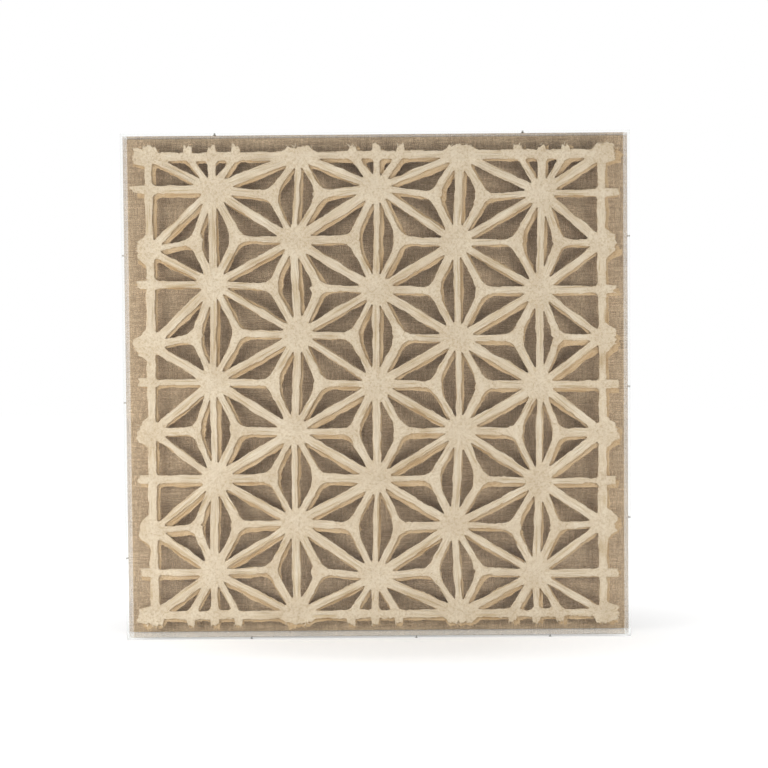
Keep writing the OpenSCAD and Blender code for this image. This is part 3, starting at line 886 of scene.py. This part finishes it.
def linen_wrap(linen):
    """The cloth as it lies over the board: a grid on the face, then square rings carried along a profile
    that turns over the edge, runs back along the side, and turns in as the hem. The flat map unrolls it."""
    low, high = (np.array(v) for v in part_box("linen_cover"))
    half, middle = (high[0] - low[0]) / 2, (low[2] + high[2]) / 2
    r = linen.edge_round
    q = np.linspace(-1.0, 1.0, LINEN_STEPS + 1)
    arc = np.linspace(0.0, math.pi / 2, LINEN_TURN + 1)
    rise, fall = r * (1 - np.sin(arc)), r * (1 - np.cos(arc))
    run = np.linspace(low[1] + r, high[1] - r, LINEN_SIDE + 1)[1:-1]
    inset = np.concatenate([rise, np.zeros_like(run), fall, [linen.hem / 2, linen.hem]])
    depth = np.concatenate([low[1] + fall, run, high[1] - rise, [high[1]] * 2])
    walked = np.concatenate([[0.0], np.cumsum(np.hypot(np.diff(inset), np.diff(depth)))])
    face_half = half - r
    gx, gz = np.meshgrid(q * face_half, q * face_half, indexing="ij")
    points = [np.stack([gx, np.full_like(gx, low[1]), gz + middle], axis=-1).reshape(-1, 3)]
    quads = [grid_quads(len(q), len(q))]
    flat = [np.stack([gx, gz], axis=-1).reshape(-1, 2)]
    size = half - inset
    first = len(points[0])
    for way_x, way_z in ((1, 0), (0, 1), (-1, 0), (0, -1)):
        x = size[None, :] * (way_x + way_z * q[:, None])
        z = size[None, :] * (way_z - way_x * q[:, None])
        y = np.broadcast_to(depth, x.shape)
        points.append(np.stack([x, y, z + middle], axis=-1).reshape(-1, 3))
        quads.append(grid_quads(len(q), len(depth), first))
        reach = face_half + walked
        u = reach[None, :] * way_x if way_x else x
        w = reach[None, :] * way_z if way_z else z
        flat.append(np.stack(np.broadcast_arrays(u, w), axis=-1).reshape(-1, 2))
        first += x.size
    points, quads, flat = np.concatenate(points), np.concatenate(quads), np.concatenate(flat)
    piece = put_mesh("linen_cloth", points, quads, flat[quads], {})
    smooth(piece, LINEN_SHARP)
    thick = piece.modifiers.new("thickness", "SOLIDIFY")
    thick.thickness = linen.thickness
    thick.offset = -1.0
    size_flat = 2 * (face_half + walked[-1])
    return piece, float(size_flat)


# Screws


def screw_points():
    """One countersunk screw along -z from its head's face, as rings round its axis: a flat face with a cross
    recess, the cone under the head, a shank with a thread that winds once each pitch, and a point."""
    head = SCREW_HEAD
    angle = np.linspace(0.0, 2 * math.pi, SCREW_COLUMNS + 1)[None, :]
    face_r = head * np.array(HEAD_RINGS)[:, None]
    arm = np.minimum(np.abs(np.cos(angle)), np.abs(np.sin(angle))) * face_r
    across = soft_step(RECESS_ACROSS[0] * head, RECESS_ACROSS[1] * head, arm)
    along = soft_step(RECESS_ALONG[0] * head, RECESS_ALONG[1] * head, face_r)
    face_z = -RECESS_DEPTH * across * along * (1 - RECESS_RISE * face_r / head)
    shank_z = np.linspace(SCREW_SHANK - head, -SCREW_LENGTH, SHANK_RINGS)[:, None]
    wind = 0.5 + 0.5 * np.cos(2 * math.pi * shank_z / SCREW_PITCH - angle)
    taper = np.clip((shank_z + SCREW_LENGTH) / POINT_LENGTH, 0.0, 1.0)
    shank_r = SCREW_SHANK * taper * (1 - THREAD_DEPTH + THREAD_DEPTH * wind)
    rings = []
    for r, z in ((face_r, face_z), (shank_r, shank_z)):
        rings.append(np.stack(np.broadcast_arrays(r * np.cos(angle), r * np.sin(angle), z), axis=-1))
    return np.concatenate(rings)


def screws():
    """All case screws, each set in its wall: the screw's -z runs into the case."""
    shape = screw_points()
    low, high = CAD_BOX
    walls = (
        (True, high.z - SCREW_SINK, Matrix.Identity(4)),
        (True, low.z + SCREW_SINK, Matrix.Rotation(math.pi, 4, "X")),
        (False, low.x + SCREW_SINK, Matrix.Rotation(-math.pi / 2, 4, "Y")),
        (False, high.x - SCREW_SINK, Matrix.Rotation(math.pi / 2, 4, "Y")),
    )
    points, quads, count = [], [], 0
    for n, ((level, face, inward), spots) in enumerate(zip(walls, SCREW_SPOTS)):
        for m, spot in enumerate(spots):
            place = (spot, SCREW_Y, face) if level else (face, SCREW_Y, MIDDLE_Z + spot)
            turn = Matrix.Rotation(SCREW_TURNS[0] * n + SCREW_TURNS[1] * m, 4, "Z")
            move = np.array(Matrix.Translation(place) @ inward @ turn)
            points.append(shape.reshape(-1, 3) @ move[:3, :3].T + move[:3, 3])
            quads.append(grid_quads(shape.shape[0], shape.shape[1], count))
            count += shape.shape[0] * shape.shape[1]
    points, quads = np.concatenate(points), np.concatenate(quads)
    piece = put_mesh("case_screw_set", points, quads, np.zeros((len(quads), 4, 2)), {})
    smooth(piece, SCREW_SHARP)
    return piece


# Finishes

# Pulp: the stretch of its fibres and folds along and across a strip, the share of long fibres on a
# strip, and the weights of lumps and folds in its height
FIBRE_STRETCH = (26.0, 380.0, 1.0)
FOLD_STRETCH = (8.0, 150.0, 1.0)
FIBRE_SHARE = 0.75
LUMP_HEIGHT = 0.8
FOLD_HEIGHT = 2.6

# Places on a ramp with the tones that multiply the paper's colour, from the deepest grain or fold on.
# The grain's tones are the pulp's own; the fold's are painted shade in the creases.
GRAIN_STOPS = ((0.36, (0.80, 0.74, 0.66)), (0.5, (0.97, 0.95, 0.92)), (0.60, 1.0))
FOLD_SHADE_STOPS = ((0.36, (0.80, 0.73, 0.62)), (0.48, (0.97, 0.95, 0.92)), (0.60, 1.0))

# How much of the painted edge shade's colour the strip edges take, and what each sheet's colours are
# multiplied by, which on the back sheet is painted shade
EDGE_SHADE_SHARE = 0.25
FRONT_SHADE = (1.0, 1.0, 1.0)
# Painted shade: the back sheet is the same paper, darkened and warmed for lying in the front sheet's shade
BACK_PAINTED_SHADE = (0.86, 0.75, 0.61)

# Linen: what tells one thread's tone from the next one's and one set of threads from the other, how
# fast a tone drifts along a thread, the painted shade in the gaps and down the flanks of each thread,
# and the scale of patches with their deepest and palest tone
THREAD_STEP = 7.31
SET_STEP = 5.3
THREAD_DRIFT = 38.0
GAP_SHADE_STOPS = ((0.0, 0.62), (0.55, 1.0))
LINEN_PATCHES = ((9.0, 0.92, 1.0), (330.0, 0.74, 1.12))

# Acrylic: its index of refraction, and the bounces after which a ray that is caught between the faces
# of a panel goes straight out
ACRYLIC_IOR = 1.49
LOST_DEPTH = 5.5

# Pine: the scale of its bands along and across a bar, how much finer the pores are, and the tone
# between bands
PINE_ALONG = 0.9
PINE_ACROSS = 26.0
PORE_SCALE = 22
PINE_BETWEEN = 0.86

# Metal share of the zinc on the screws, which are seen through acrylic, and on the hangers
SCREW_METAL = 0.3
HANGER_METAL = 1.0
SPANGLE_SHADE = 0.8

# Room for a ramp in the node editor
RAMP_ROOM = 300

# Strength and height of the bumps
PAPER_BUMP = (0.8, 0.0012)
PULP_BUMP = (0.3, 0.0005)
LINEN_BUMP = (0.5, 0.0004)
PINE_BUMP = (0.25, 0.0005)


def shader(name):
    """A new material with its tree and its Principled shader."""
    material = bpy.data.materials.new(name)
    material.use_nodes = True
    tree = material.node_tree
    return material, tree, next(n for n in tree.nodes if n.type == "BSDF_PRINCIPLED")


def join(tree, socket, value):
    """Sets a socket, or links another node's socket to it. A colour gets its fourth number here."""
    if isinstance(value, bpy.types.NodeSocket):
        tree.links.new(value, socket)
    elif socket.type == "RGBA":
        socket.default_value = (*value, 1.0)
    else:
        socket.default_value = value


def fill(tree, node, **inputs):
    """Sets or links the named sockets of a node. A space in a name is written as an underscore."""
    for name, value in inputs.items():
        join(tree, node.inputs[name.replace("_", " ")], value)


def add(tree, kind, at, **inputs):
    """A node at a place in the tree, with its sockets set or linked."""
    node = tree.nodes.new("ShaderNode" + kind)
    node.location = at
    fill(tree, node, **inputs)
    return node


def math_node(tree, at, operation, *values):
    """A Math node on one, two or three values."""
    node = add(tree, "Math", at)
    node.operation = operation
    for socket, value in zip(node.inputs, values):
        join(tree, socket, value)
    return node.outputs[0]


def ramp(tree, at, factor, stops):
    """A colour ramp: stops are places with a colour or a grey."""
    node = add(tree, "ValToRGB", at, Fac=factor)
    elements = node.color_ramp.elements
    while len(elements) < len(stops):
        elements.new(0.5)
    for element, (place, colour) in zip(elements, stops):
        element.position = place
        element.color = (*colour, 1.0) if hasattr(colour, "__len__") else (colour, colour, colour, 1.0)
    return node.outputs[0]


def blend(tree, at, factor, a, b, mode="MIX"):
    """A colour mix."""
    node = add(tree, "Mix", at)
    node.data_type = "RGBA"
    node.blend_type = mode
    for n, value in ((0, factor), (6, a), (7, b)):
        join(tree, node.inputs[n], value)
    return node.outputs[2]


def darkened(tree, at, colour, factor, stops):
    """A colour multiplied by a ramp on a factor. The ramp stands left of the mix."""
    tones = ramp(tree, (at[0] - RAMP_ROOM, at[1]), factor, stops)
    return blend(tree, at, 1.0, colour, tones, "MULTIPLY")


def noise(tree, at, vector, scale, detail=2.0, roughness=0.5):
    """A noise value on a vector."""
    node = add(tree, "TexNoise", at, Vector=vector, Scale=scale, Detail=detail, Roughness=roughness)
    return node.outputs[0]


def stretched(tree, at, vector, scale):
    """A vector with each axis scaled by its own amount."""
    node = add(tree, "Mapping", at, Vector=vector, Scale=scale)
    return node.outputs[0]


def bump(tree, at, height, strength, distance):
    """A normal from a height."""
    return add(tree, "Bump", at, Height=height, Strength=strength, Distance=distance).outputs[0]


def group(name, inputs, outputs):
    """A new shader node group with named sockets, and its two end nodes."""
    tree = bpy.data.node_groups.new(name, "ShaderNodeTree")
    for socket, kind in inputs:
        tree.interface.new_socket(socket, in_out="INPUT", socket_type="NodeSocket" + kind)
    for socket in outputs:
        tree.interface.new_socket(socket, in_out="OUTPUT", socket_type="NodeSocketFloat")
    start, end = tree.nodes.new("NodeGroupInput"), tree.nodes.new("NodeGroupOutput")
    start.location, end.location = (-900, 0), (900, 0)
    return tree, start, end


def place_group(tree, at, source, **inputs):
    """A copy of a group in a material, with its sockets set or linked."""
    node = add(tree, "Group", at)
    node.node_tree = bpy.data.node_groups[source]
    fill(tree, node, **inputs)
    return node


def make_groups():
    """Pulp: soft clouds, fibres that follow the strip and fine grain, used by paper, card and board."""
    sockets = (("Place", "Vector"), ("Strip", "Vector"), ("Strand", "Float"))
    tree, start, end = group("pulp", sockets, ("Cloud", "Fibre", "Fold", "Height"))
    place, strip, strand = (start.outputs[name] for name, kind in sockets)
    cloud = noise(tree, (-600, 300), place, scale=26.0, detail=3.0, roughness=0.55)
    grain = noise(tree, (-600, 0), place, scale=330.0, detail=4.0, roughness=0.65)
    along = stretched(tree, (-600, -300), strip, FIBRE_STRETCH)
    long = noise(tree, (-400, -300), along, scale=1.0, detail=3.0, roughness=0.6)
    share = math_node(tree, (-400, -550), "MULTIPLY", strand, FIBRE_SHARE)
    fibre = add(tree, "Mix", (-100, -200), Factor=share, A=grain, B=long).outputs[0]
    lumps = noise(tree, (-600, -800), place, scale=130.0)
    folded = stretched(tree, (-600, -1050), strip, FOLD_STRETCH)
    crease = noise(tree, (-400, -1050), folded, scale=1.0)
    fold = add(tree, "Mix", (-100, -1000), Factor=strand, A=0.5, B=crease).outputs[0]
    soft = math_node(tree, (200, -300), "MULTIPLY_ADD", lumps, LUMP_HEIGHT, fibre)
    height = math_node(tree, (400, -300), "MULTIPLY_ADD", fold, FOLD_HEIGHT, soft)
    for socket, value in zip(end.inputs, (cloud, fibre, fold, height)):
        tree.links.new(value, socket)


def flat_map(tree, at):
    """The flat map of a piece."""
    node = add(tree, "UVMap", at)
    node.uv_map = "flat"
    return node.outputs[0]


def paper_finish(name, paper, painted_shade):
    """Handmade paper: cream pulp with soft clouds and fibres along each strip; painted shade at the strip
    edges, in the folds and over the whole back sheet.
    """
    material, tree, main = shader(name)
    place = add(tree, "TexCoord", (-1300, 200)).outputs["Object"]
    strip = flat_map(tree, (-1300, -100))
    marks = {}
    for n, mark in enumerate(("rim", "strand")):
        node = add(tree, "Attribute", (-1300, -300 - 200 * n))
        node.attribute_name = mark
        marks[mark] = node.outputs["Fac"]
    pulp = place_group(tree, (-900, 0), "pulp", Place=place, Strip=strip, Strand=marks["strand"])
    colours = (paper.light_colour, paper.deep_colour, paper.edge_shade_colour)
    # The colours are multiplied by the sheet's painted shade, which darkens the back sheet
    light, deep, rim = (tuple(c * s for c, s in zip(colour, painted_shade)) for colour in colours)
    colour = ramp(tree, (-600, 300), pulp.outputs["Cloud"], ((0.3, deep), (0.68, light)))
    colour = darkened(tree, (-300, 0), colour, pulp.outputs["Fibre"], GRAIN_STOPS)
    # Painted shade in the creases of the folds
    colour = darkened(tree, (-200, -300), colour, pulp.outputs["Fold"], FOLD_SHADE_STOPS)
    # Painted shade along the strip edges
    edge = math_node(tree, (-300, -500), "MULTIPLY", marks["rim"], EDGE_SHADE_SHARE)
    colour = blend(tree, (-100, 200), edge, colour, rim)
    normal = bump(tree, (-100, -300), pulp.outputs["Height"], *PAPER_BUMP)
    fill(tree, main, Base_Color=colour, Normal=normal)
    fill(tree, main, Roughness=0.92, Specular_IOR_Level=0.25, Sheen_Weight=0.08)
    return material


def linen_finish(linen):
    """Natural linen in plain weave: at every other crossing the upright thread lies over the level one. Each
    thread is a rounded ridge with a tone of its own, which drifts along it; painted shade darkens its flanks
    and the gaps."""
    material, tree, main = shader("natural_linen")
    cloth = flat_map(tree, (-1900, 0))
    parts = add(tree, "SeparateXYZ", (-1700, 0), Vector=cloth)
    counts, ridges, tones = [], [], []
    for n, y in ((0, 200), (1, -200)):
        turns = math_node(tree, (-1500, y), "MULTIPLY", parts.outputs[n], 1 / linen.pitch)
        counts.append(math_node(tree, (-1300, y), "FLOOR", turns))
        share = math_node(tree, (-1300, y - 150), "FRACT", turns)
        half_turn = math_node(tree, (-1100, y - 150), "MULTIPLY", share, math.pi)
        ridges.append(math_node(tree, (-900, y - 150), "SINE", half_turn))
    over = math_node(tree, (-1100, 0), "ADD", *counts)
    over = math_node(tree, (-900, 0), "FLOORED_MODULO", over, 2.0)
    for n, y in ((0, 500), (1, 800)):
        thread = math_node(tree, (-1100, y), "MULTIPLY", counts[n], THREAD_STEP)
        drift = math_node(tree, (-1100, y - 150), "MULTIPLY", parts.outputs[1 - n], THREAD_DRIFT)
        place = add(tree, "CombineXYZ", (-900, y), X=thread, Y=drift, Z=SET_STEP * n).outputs[0]
        tones.append(noise(tree, (-700, y), place, scale=1.0, roughness=0.6))
    tone = add(tree, "Mix", (-500, 600), Factor=over, A=tones[0], B=tones[1]).outputs[0]
    ridge = add(tree, "Mix", (-500, 0), Factor=over, A=ridges[0], B=ridges[1]).outputs[0]
    colour = ramp(tree, (-300, 600), tone, ((0.30, linen.weft_colour), (0.70, linen.warp_colour)))
    # Painted shade in the gaps between threads and down their flanks
    colour = darkened(tree, (0, 400), colour, ridge, GAP_SHADE_STOPS)
    for n, (scale, deep, pale) in enumerate(LINEN_PATCHES):
        patch = noise(tree, (-500, 900 + 300 * n), cloth, scale=scale, roughness=0.55)
        colour = darkened(tree, (200, 900 + 300 * n), colour, patch, ((0.34, deep), (0.66, pale)))
    fill(tree, main, Base_Color=colour, Normal=bump(tree, (0, -200), ridge, *LINEN_BUMP))
    fill(tree, main, Roughness=0.9, Specular_IOR_Level=0.2, Sheen_Weight=0.1)
    return material


def acrylic_finish(name, case, glare):
    """Clear polished acrylic, which lets light from lamps and pale surfaces pass to what is behind it."""
    material, tree, main = shader(name)
    fill(tree, main, Base_Color=case.tint, Roughness=case.roughness)
    fill(tree, main, Specular_Tint=(glare, glare, glare), IOR=ACRYLIC_IOR, Transmission_Weight=1.0)
    rays = add(tree, "LightPath", (-300, 400)).outputs
    passed = math_node(tree, (0, 400), "MAXIMUM", rays["Is Shadow Ray"], rays["Is Diffuse Ray"])
    lost = math_node(tree, (0, 600), "GREATER_THAN", rays["Ray Depth"], LOST_DEPTH)
    passed = math_node(tree, (200, 400), "MAXIMUM", passed, lost)
    clear = add(tree, "BsdfTransparent", (0, 200), Color=case.tint)
    mixed = add(tree, "MixShader", (400, 400), Fac=passed)
    tree.links.new(main.outputs[0], mixed.inputs[1])
    tree.links.new(clear.outputs[0], mixed.inputs[2])
    out = next(n for n in tree.nodes if n.type == "OUTPUT_MATERIAL")
    tree.links.new(mixed.outputs[0], out.inputs["Surface"])
    return material


def pine_finish(name, back, upright):
    """Planed pine: bands of early and late wood along the bar, with fine pores."""
    material, tree, main = shader(name)
    place = add(tree, "TexCoord", (-1300, 0)).outputs["Object"]
    across = (PINE_ACROSS, PINE_ACROSS)
    scale = (*across, PINE_ALONG) if upright else (PINE_ALONG, *across)
    wood = stretched(tree, (-1100, 0), place, scale)
    drift = noise(tree, (-900, 200), wood, scale=1.6)
    bands = add(tree, "TexWave", (-700, 0), Vector=wood, Scale=1.1, Distortion=3.2, Detail=2.0)
    bands.bands_direction = "DIAGONAL"
    fine = stretched(tree, (-1100, -300), place, tuple(PORE_SCALE * v for v in scale))
    pores = noise(tree, (-900, -300), fine, scale=1.0, roughness=0.6)
    between = tuple(PINE_BETWEEN * c for c in back.pine_light)
    stops = ((0.15, back.pine_light), (0.72, between), (0.96, back.pine_deep))
    colour = ramp(tree, (-500, 0), bands.outputs["Fac"], stops)
    colour = darkened(tree, (-200, 300), colour, drift, ((0.3, 0.9), (0.7, 1.0)))
    colour = darkened(tree, (-100, -300), colour, pores, ((0.3, 0.86), (0.55, 1.0)))
    normal = bump(tree, (0, -300), pores, *PINE_BUMP)
    fill(tree, main, Base_Color=colour, Normal=normal, Roughness=0.72)
    return material


def pulp_finish(name, colour, strength, roughness):
    """Pressed fibre, such as board or card: its tone with clouds and grain."""
    material, tree, main = shader(name)
    place = add(tree, "TexCoord", (-1300, 0)).outputs["Object"]
    pulp = place_group(tree, (-900, 0), "pulp", Place=place, Strip=place, Strand=0.0)
    low = tuple(c * (1 - strength) for c in colour)
    high = tuple(min(1.0, c * (1 + 0.5 * strength)) for c in colour)
    cloud = ramp(tree, (-600, 200), pulp.outputs["Cloud"], ((0.3, low), (0.7, high)))
    tone = darkened(tree, (-200, 0), cloud, pulp.outputs["Fibre"], ((0.3, 1 - strength), (0.6, 1.0)))
    normal = bump(tree, (-200, -300), pulp.outputs["Height"], *PULP_BUMP)
    fill(tree, main, Base_Color=tone, Normal=normal, Roughness=roughness)
    return material


def zinc_finish(name, back, metallic):
    """Zinc plate: bright grey with a faint spangle and uneven gloss."""
    material, tree, main = shader(name)
    place = add(tree, "TexCoord", (-1100, 0)).outputs["Object"]
    spangle = add(tree, "TexVoronoi", (-800, 100), Vector=place, Scale=900.0).outputs["Distance"]
    shaded = tuple(SPANGLE_SHADE * c for c in back.zinc)
    tone = ramp(tree, (-500, 100), spangle, ((0.1, back.zinc), (0.7, shaded)))
    cloud = noise(tree, (-800, -200), place, scale=700.0)
    gloss = ramp(tree, (-500, -200), cloud, ((0.3, 0.28), (0.7, 0.42)))
    fill(tree, main, Base_Color=tone, Roughness=gloss, Metallic=metallic)
    return material


# Operators


class PAPERART_OT_case(bpy.types.Operator):
    """Polish the acrylic panels and break their edges"""

    bl_idname = "paperart.case"
    bl_label = "Clear Box Frame"

    def execute(self, context):
        case = context.scene.paper_art.case
        walls = ("top_wall", "bottom_wall", "left_wall", "right_wall")
        dress(acrylic_finish("coated_acrylic", case, case.glare), "front_panel")
        dress(acrylic_finish("clear_acrylic", case, case.wall_glare), *walls)
        arris(case.bevel, case.joint, ARRIS_ANGLE, "front_panel", *walls)
        return {"FINISHED"}


class PAPERART_OT_sheets(bpy.types.Operator):
    """Build the two cut paper lattices"""

    bl_idname = "paperart.sheets"
    bl_label = "Paper Lattices"

    def execute(self, context):
        paper = context.scene.paper_art.paper
        plans = (
            (FRONT, "paper_front_lattice", "paper_front", FRONT_SHADE),
            # The back sheet's paper gets painted shade
            (BACK, "paper_back_lattice", "paper_back", BACK_PAINTED_SHADE),
        )
        for sheet, name, node, painted_shade in plans:
            piece = paper_sheet(sheet, paper, name)
            finish_piece(piece, "paper", paper_finish(node + "_pulp", paper, painted_shade), node)
        return {"FINISHED"}


class PAPERART_OT_linen(bpy.types.Operator):
    """Wrap the linen over the board"""

    bl_idname = "paperart.linen"
    bl_label = "Linen"

    def execute(self, context):
        linen = context.scene.paper_art.linen
        cloth, size = linen_wrap(linen)
        finish_piece(cloth, "linen", linen_finish(linen), "linen_cover")
        return {"FINISHED"}


class PAPERART_OT_back(bpy.types.Operator):
    """Finish the board, the pine bars and the spacer pads"""

    bl_idname = "paperart.back"
    bl_label = "Board, Bars and Pads"

    def execute(self, context):
        back = context.scene.paper_art.back
        board = pulp_finish("raw_fibreboard", back.board, strength=0.22, roughness=0.85)
        card = pulp_finish("spacer_card", back.card, strength=0.12, roughness=0.9)
        dress(board, "backing_board")
        dress(pine_finish("pine_level", back, False), "strainer_top", "strainer_bottom")
        dress(pine_finish("pine_upright", back, True), "strainer_left", "strainer_right")
        dress(card, "back_pads", "front_pads")
        return {"FINISHED"}


class PAPERART_OT_hardware(bpy.types.Operator):
    """Make the case screws and finish the hangers and their nails"""

    bl_idname = "paperart.hardware"
    bl_label = "Screws and Hangers"

    def execute(self, context):
        back = context.scene.paper_art.back
        dull = zinc_finish("dull_zinc", back, SCREW_METAL)
        bright = zinc_finish("bright_zinc", back, HANGER_METAL)
        finish_piece(screws(), "screw_steel", dull, "case_screws")
        dress(bright, "hanger_left", "hanger_right", "hanger_nails")
        return {"FINISHED"}


class PAPERART_OT_stage(bpy.types.Operator):
    """Lay the floor and set the light and the camera"""

    bl_idname = "paperart.stage"
    bl_label = "Stage"

    def execute(self, context):
        stage = context.scene.paper_art.stage
        lay_floor()
        light_room(context.scene, stage)
        set_camera(context.scene, stage)
        context.scene.view_settings.view_transform = "Standard"
        return {"FINISHED"}


# The floor: half its width, its grey, and its glow for the eye, which grows with the distance from a
# place before the case. The distance counts half from side to side. The glow's four numbers are the
# distances at which it starts and stops to grow, and its strength there.
FLOOR_HALF = 6.0
FLOOR_GREY = (0.84, 0.84, 0.84)
GLOW_STRETCH = (0.5, 1.0, 1.0)
GLOW_MIDDLE = (0.0, -0.10, 0.0)
GLOW_SPAN = (0.08, 0.55, 0.30, 0.80)

# Soft oval lamps: name, place, height that it is aimed at over the origin, width and height
LAMPS = (
    ("key", (-1.15, -0.68, 0.38), 0.40, (1.2, 0.65)),
    ("fill", (1.20, -0.72, 0.38), 0.40, (1.2, 0.65)),
    ("low", (-0.05, -0.36, 0.03), 0.25, (1.0, 0.04)),
    ("high", (-0.05, -0.45, 1.02), 0.60, (1.0, 0.20)),
)

CAMERA_PLACE = (0.0170, -3.1376, 0.5410)
CAMERA_YAW = math.radians(-0.105)
CAMERA_PITCH = math.radians(-2.535)
CAMERA_ROLL = math.radians(-0.485)
SENSOR_WIDTH = 36.0


def seen(tree, at):
    """One for rays that see the room from the camera, in a mirror or through glass, and zero for light."""
    x, y = at
    rays = add(tree, "LightPath", at).outputs
    direct = math_node(tree, (x + 200, y), "MAXIMUM", rays["Is Camera Ray"], rays["Is Glossy Ray"])
    return math_node(tree, (x + 400, y), "MAXIMUM", direct, rays["Is Transmission Ray"])


def lay_floor():
    """A wide floor, pale for the eye, that keeps the shadow of the case."""
    q = np.linspace(-FLOOR_HALF, FLOOR_HALF, 3)
    x, y = np.meshgrid(q, q, indexing="ij")
    points = np.stack([x, y, np.zeros_like(x)], axis=-1).reshape(-1, 3)
    quads = grid_quads(len(q), len(q))
    floor = put_mesh("floor", points, quads, points[quads][..., :2], {})
    material, tree, main = shader("floor_white")
    place = add(tree, "TexCoord", (-1100, 100)).outputs["Object"]
    place = stretched(tree, (-900, 100), place, GLOW_STRETCH)
    away = add(tree, "VectorMath", (-700, 100), Vector=place)
    away.operation = "DISTANCE"
    away.inputs[1].default_value = GLOW_MIDDLE
    glow = add(tree, "MapRange", (-500, 100), Value=away.outputs["Value"])
    for name, value in zip(("From Min", "From Max", "To Min", "To Max"), GLOW_SPAN):
        glow.inputs[name].default_value = value
    glow = math_node(tree, (-200, -200), "MULTIPLY", seen(tree, (-900, -200)), glow.outputs[0])
    fill(tree, main, Base_Color=FLOOR_GREY, Roughness=1.0, Specular_IOR_Level=0.0)
    fill(tree, main, Emission_Color=(1.0, 1.0, 1.0), Emission_Strength=glow)
    floor.data.materials.append(material)


def light_room(scene, stage):
    """Light from all round, a wide lamp to the left, a weaker one to the right, and faint ones low and high
    in front. What the eye sees of the room is white."""
    world = bpy.data.worlds.new("room")
    world.use_nodes = True
    scene.world = world
    tree = world.node_tree
    span = add(tree, "MapRange", (-300, 0), Value=seen(tree, (-900, 0)), To_Min=stage.world, To_Max=1.0)
    sky = next(n for n in tree.nodes if n.type == "BACKGROUND")
    fill(tree, sky, Color=(1.0, 1.0, 1.0), Strength=span.outputs[0])
    for name, place, aim, size in LAMPS:
        lamp = bpy.data.lights.new(name + "_lamp", "AREA")
        lamp.energy = getattr(stage, name)
        lamp.shape = "ELLIPSE"
        lamp.size, lamp.size_y = size
        holder = bpy.data.objects.new(name + "_lamp", lamp)
        holder.location = place
        holder.rotation_mode = "QUATERNION"
        holder.rotation_quaternion = (Vector((0, 0, aim)) - Vector(place)).to_track_quat("-Z", "Y")
        holder.visible_camera = False
        holder.visible_glossy = False
        holder.visible_transmission = False
        scene.collection.objects.link(holder)


def set_camera(scene, stage):
    """The camera, level with the upper half of the case, turned by yaw, then pitch, then roll."""
    yaw, pitch, roll = CAMERA_YAW, CAMERA_PITCH, CAMERA_ROLL
    flat = math.cos(pitch)
    forward = Vector((math.sin(yaw) * flat, math.cos(yaw) * flat, math.sin(pitch)))
    level = Vector((math.cos(yaw), -math.sin(yaw), 0.0))
    upright = level.cross(forward)
    right = level * math.cos(roll) + upright * math.sin(roll)
    up = upright * math.cos(roll) - level * math.sin(roll)
    lens = bpy.data.cameras.new("camera")
    lens.lens = stage.lens
    lens.sensor_width = SENSOR_WIDTH
    camera = bpy.data.objects.new("camera", lens)
    turn = Matrix((right, up, -forward)).transposed().to_4x4()
    camera.matrix_world = Matrix.Translation(CAMERA_PLACE) @ turn
    scene.collection.objects.link(camera)
    scene.camera = camera


class PAPERART_PT_panel(bpy.types.Panel):
    """Settings and steps of the framed paper art"""

    bl_label = "Paper Art"
    bl_idname = "PAPERART_PT_panel"
    bl_space_type = "VIEW_3D"
    bl_region_type = "UI"
    bl_category = "Paper Art"

    def draw(self, context):
        settings = context.scene.paper_art
        for part in ("paper", "linen", "case", "back", "stage"):
            box = self.layout.box()
            box.label(text=part.title())
            values = getattr(settings, part)
            for name in values.__annotations__:
                box.prop(values, name)
        for step in STEPS:
            self.layout.operator(step.bl_idname)


STEPS = (
    PAPERART_OT_stage, PAPERART_OT_sheets, PAPERART_OT_linen, PAPERART_OT_back, PAPERART_OT_hardware,
    PAPERART_OT_case,
)
CLASSES = (
    PaperSettings, LinenSettings, CaseSettings, BackSettings, StageSettings, PaperArtSettings, *STEPS,
    PAPERART_PT_panel,
)


def register():
    """Makes the settings, the steps and the panel known to Blender."""
    for cls in CLASSES:
        bpy.utils.register_class(cls)
    bpy.types.Scene.paper_art = PointerProperty(type=PaperArtSettings)


def unregister():
    """Takes them out again."""
    del bpy.types.Scene.paper_art
    for cls in reversed(CLASSES):
        bpy.utils.unregister_class(cls)


def main():
    """Builds the piece step by step."""
    register()
    make_groups()
    bpy.ops.paperart.stage()
    bpy.ops.paperart.sheets()
    bpy.ops.paperart.linen()
    bpy.ops.paperart.back()
    bpy.ops.paperart.hardware()
    bpy.ops.paperart.case()
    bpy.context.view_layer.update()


if __name__ == "__main__":
    main()
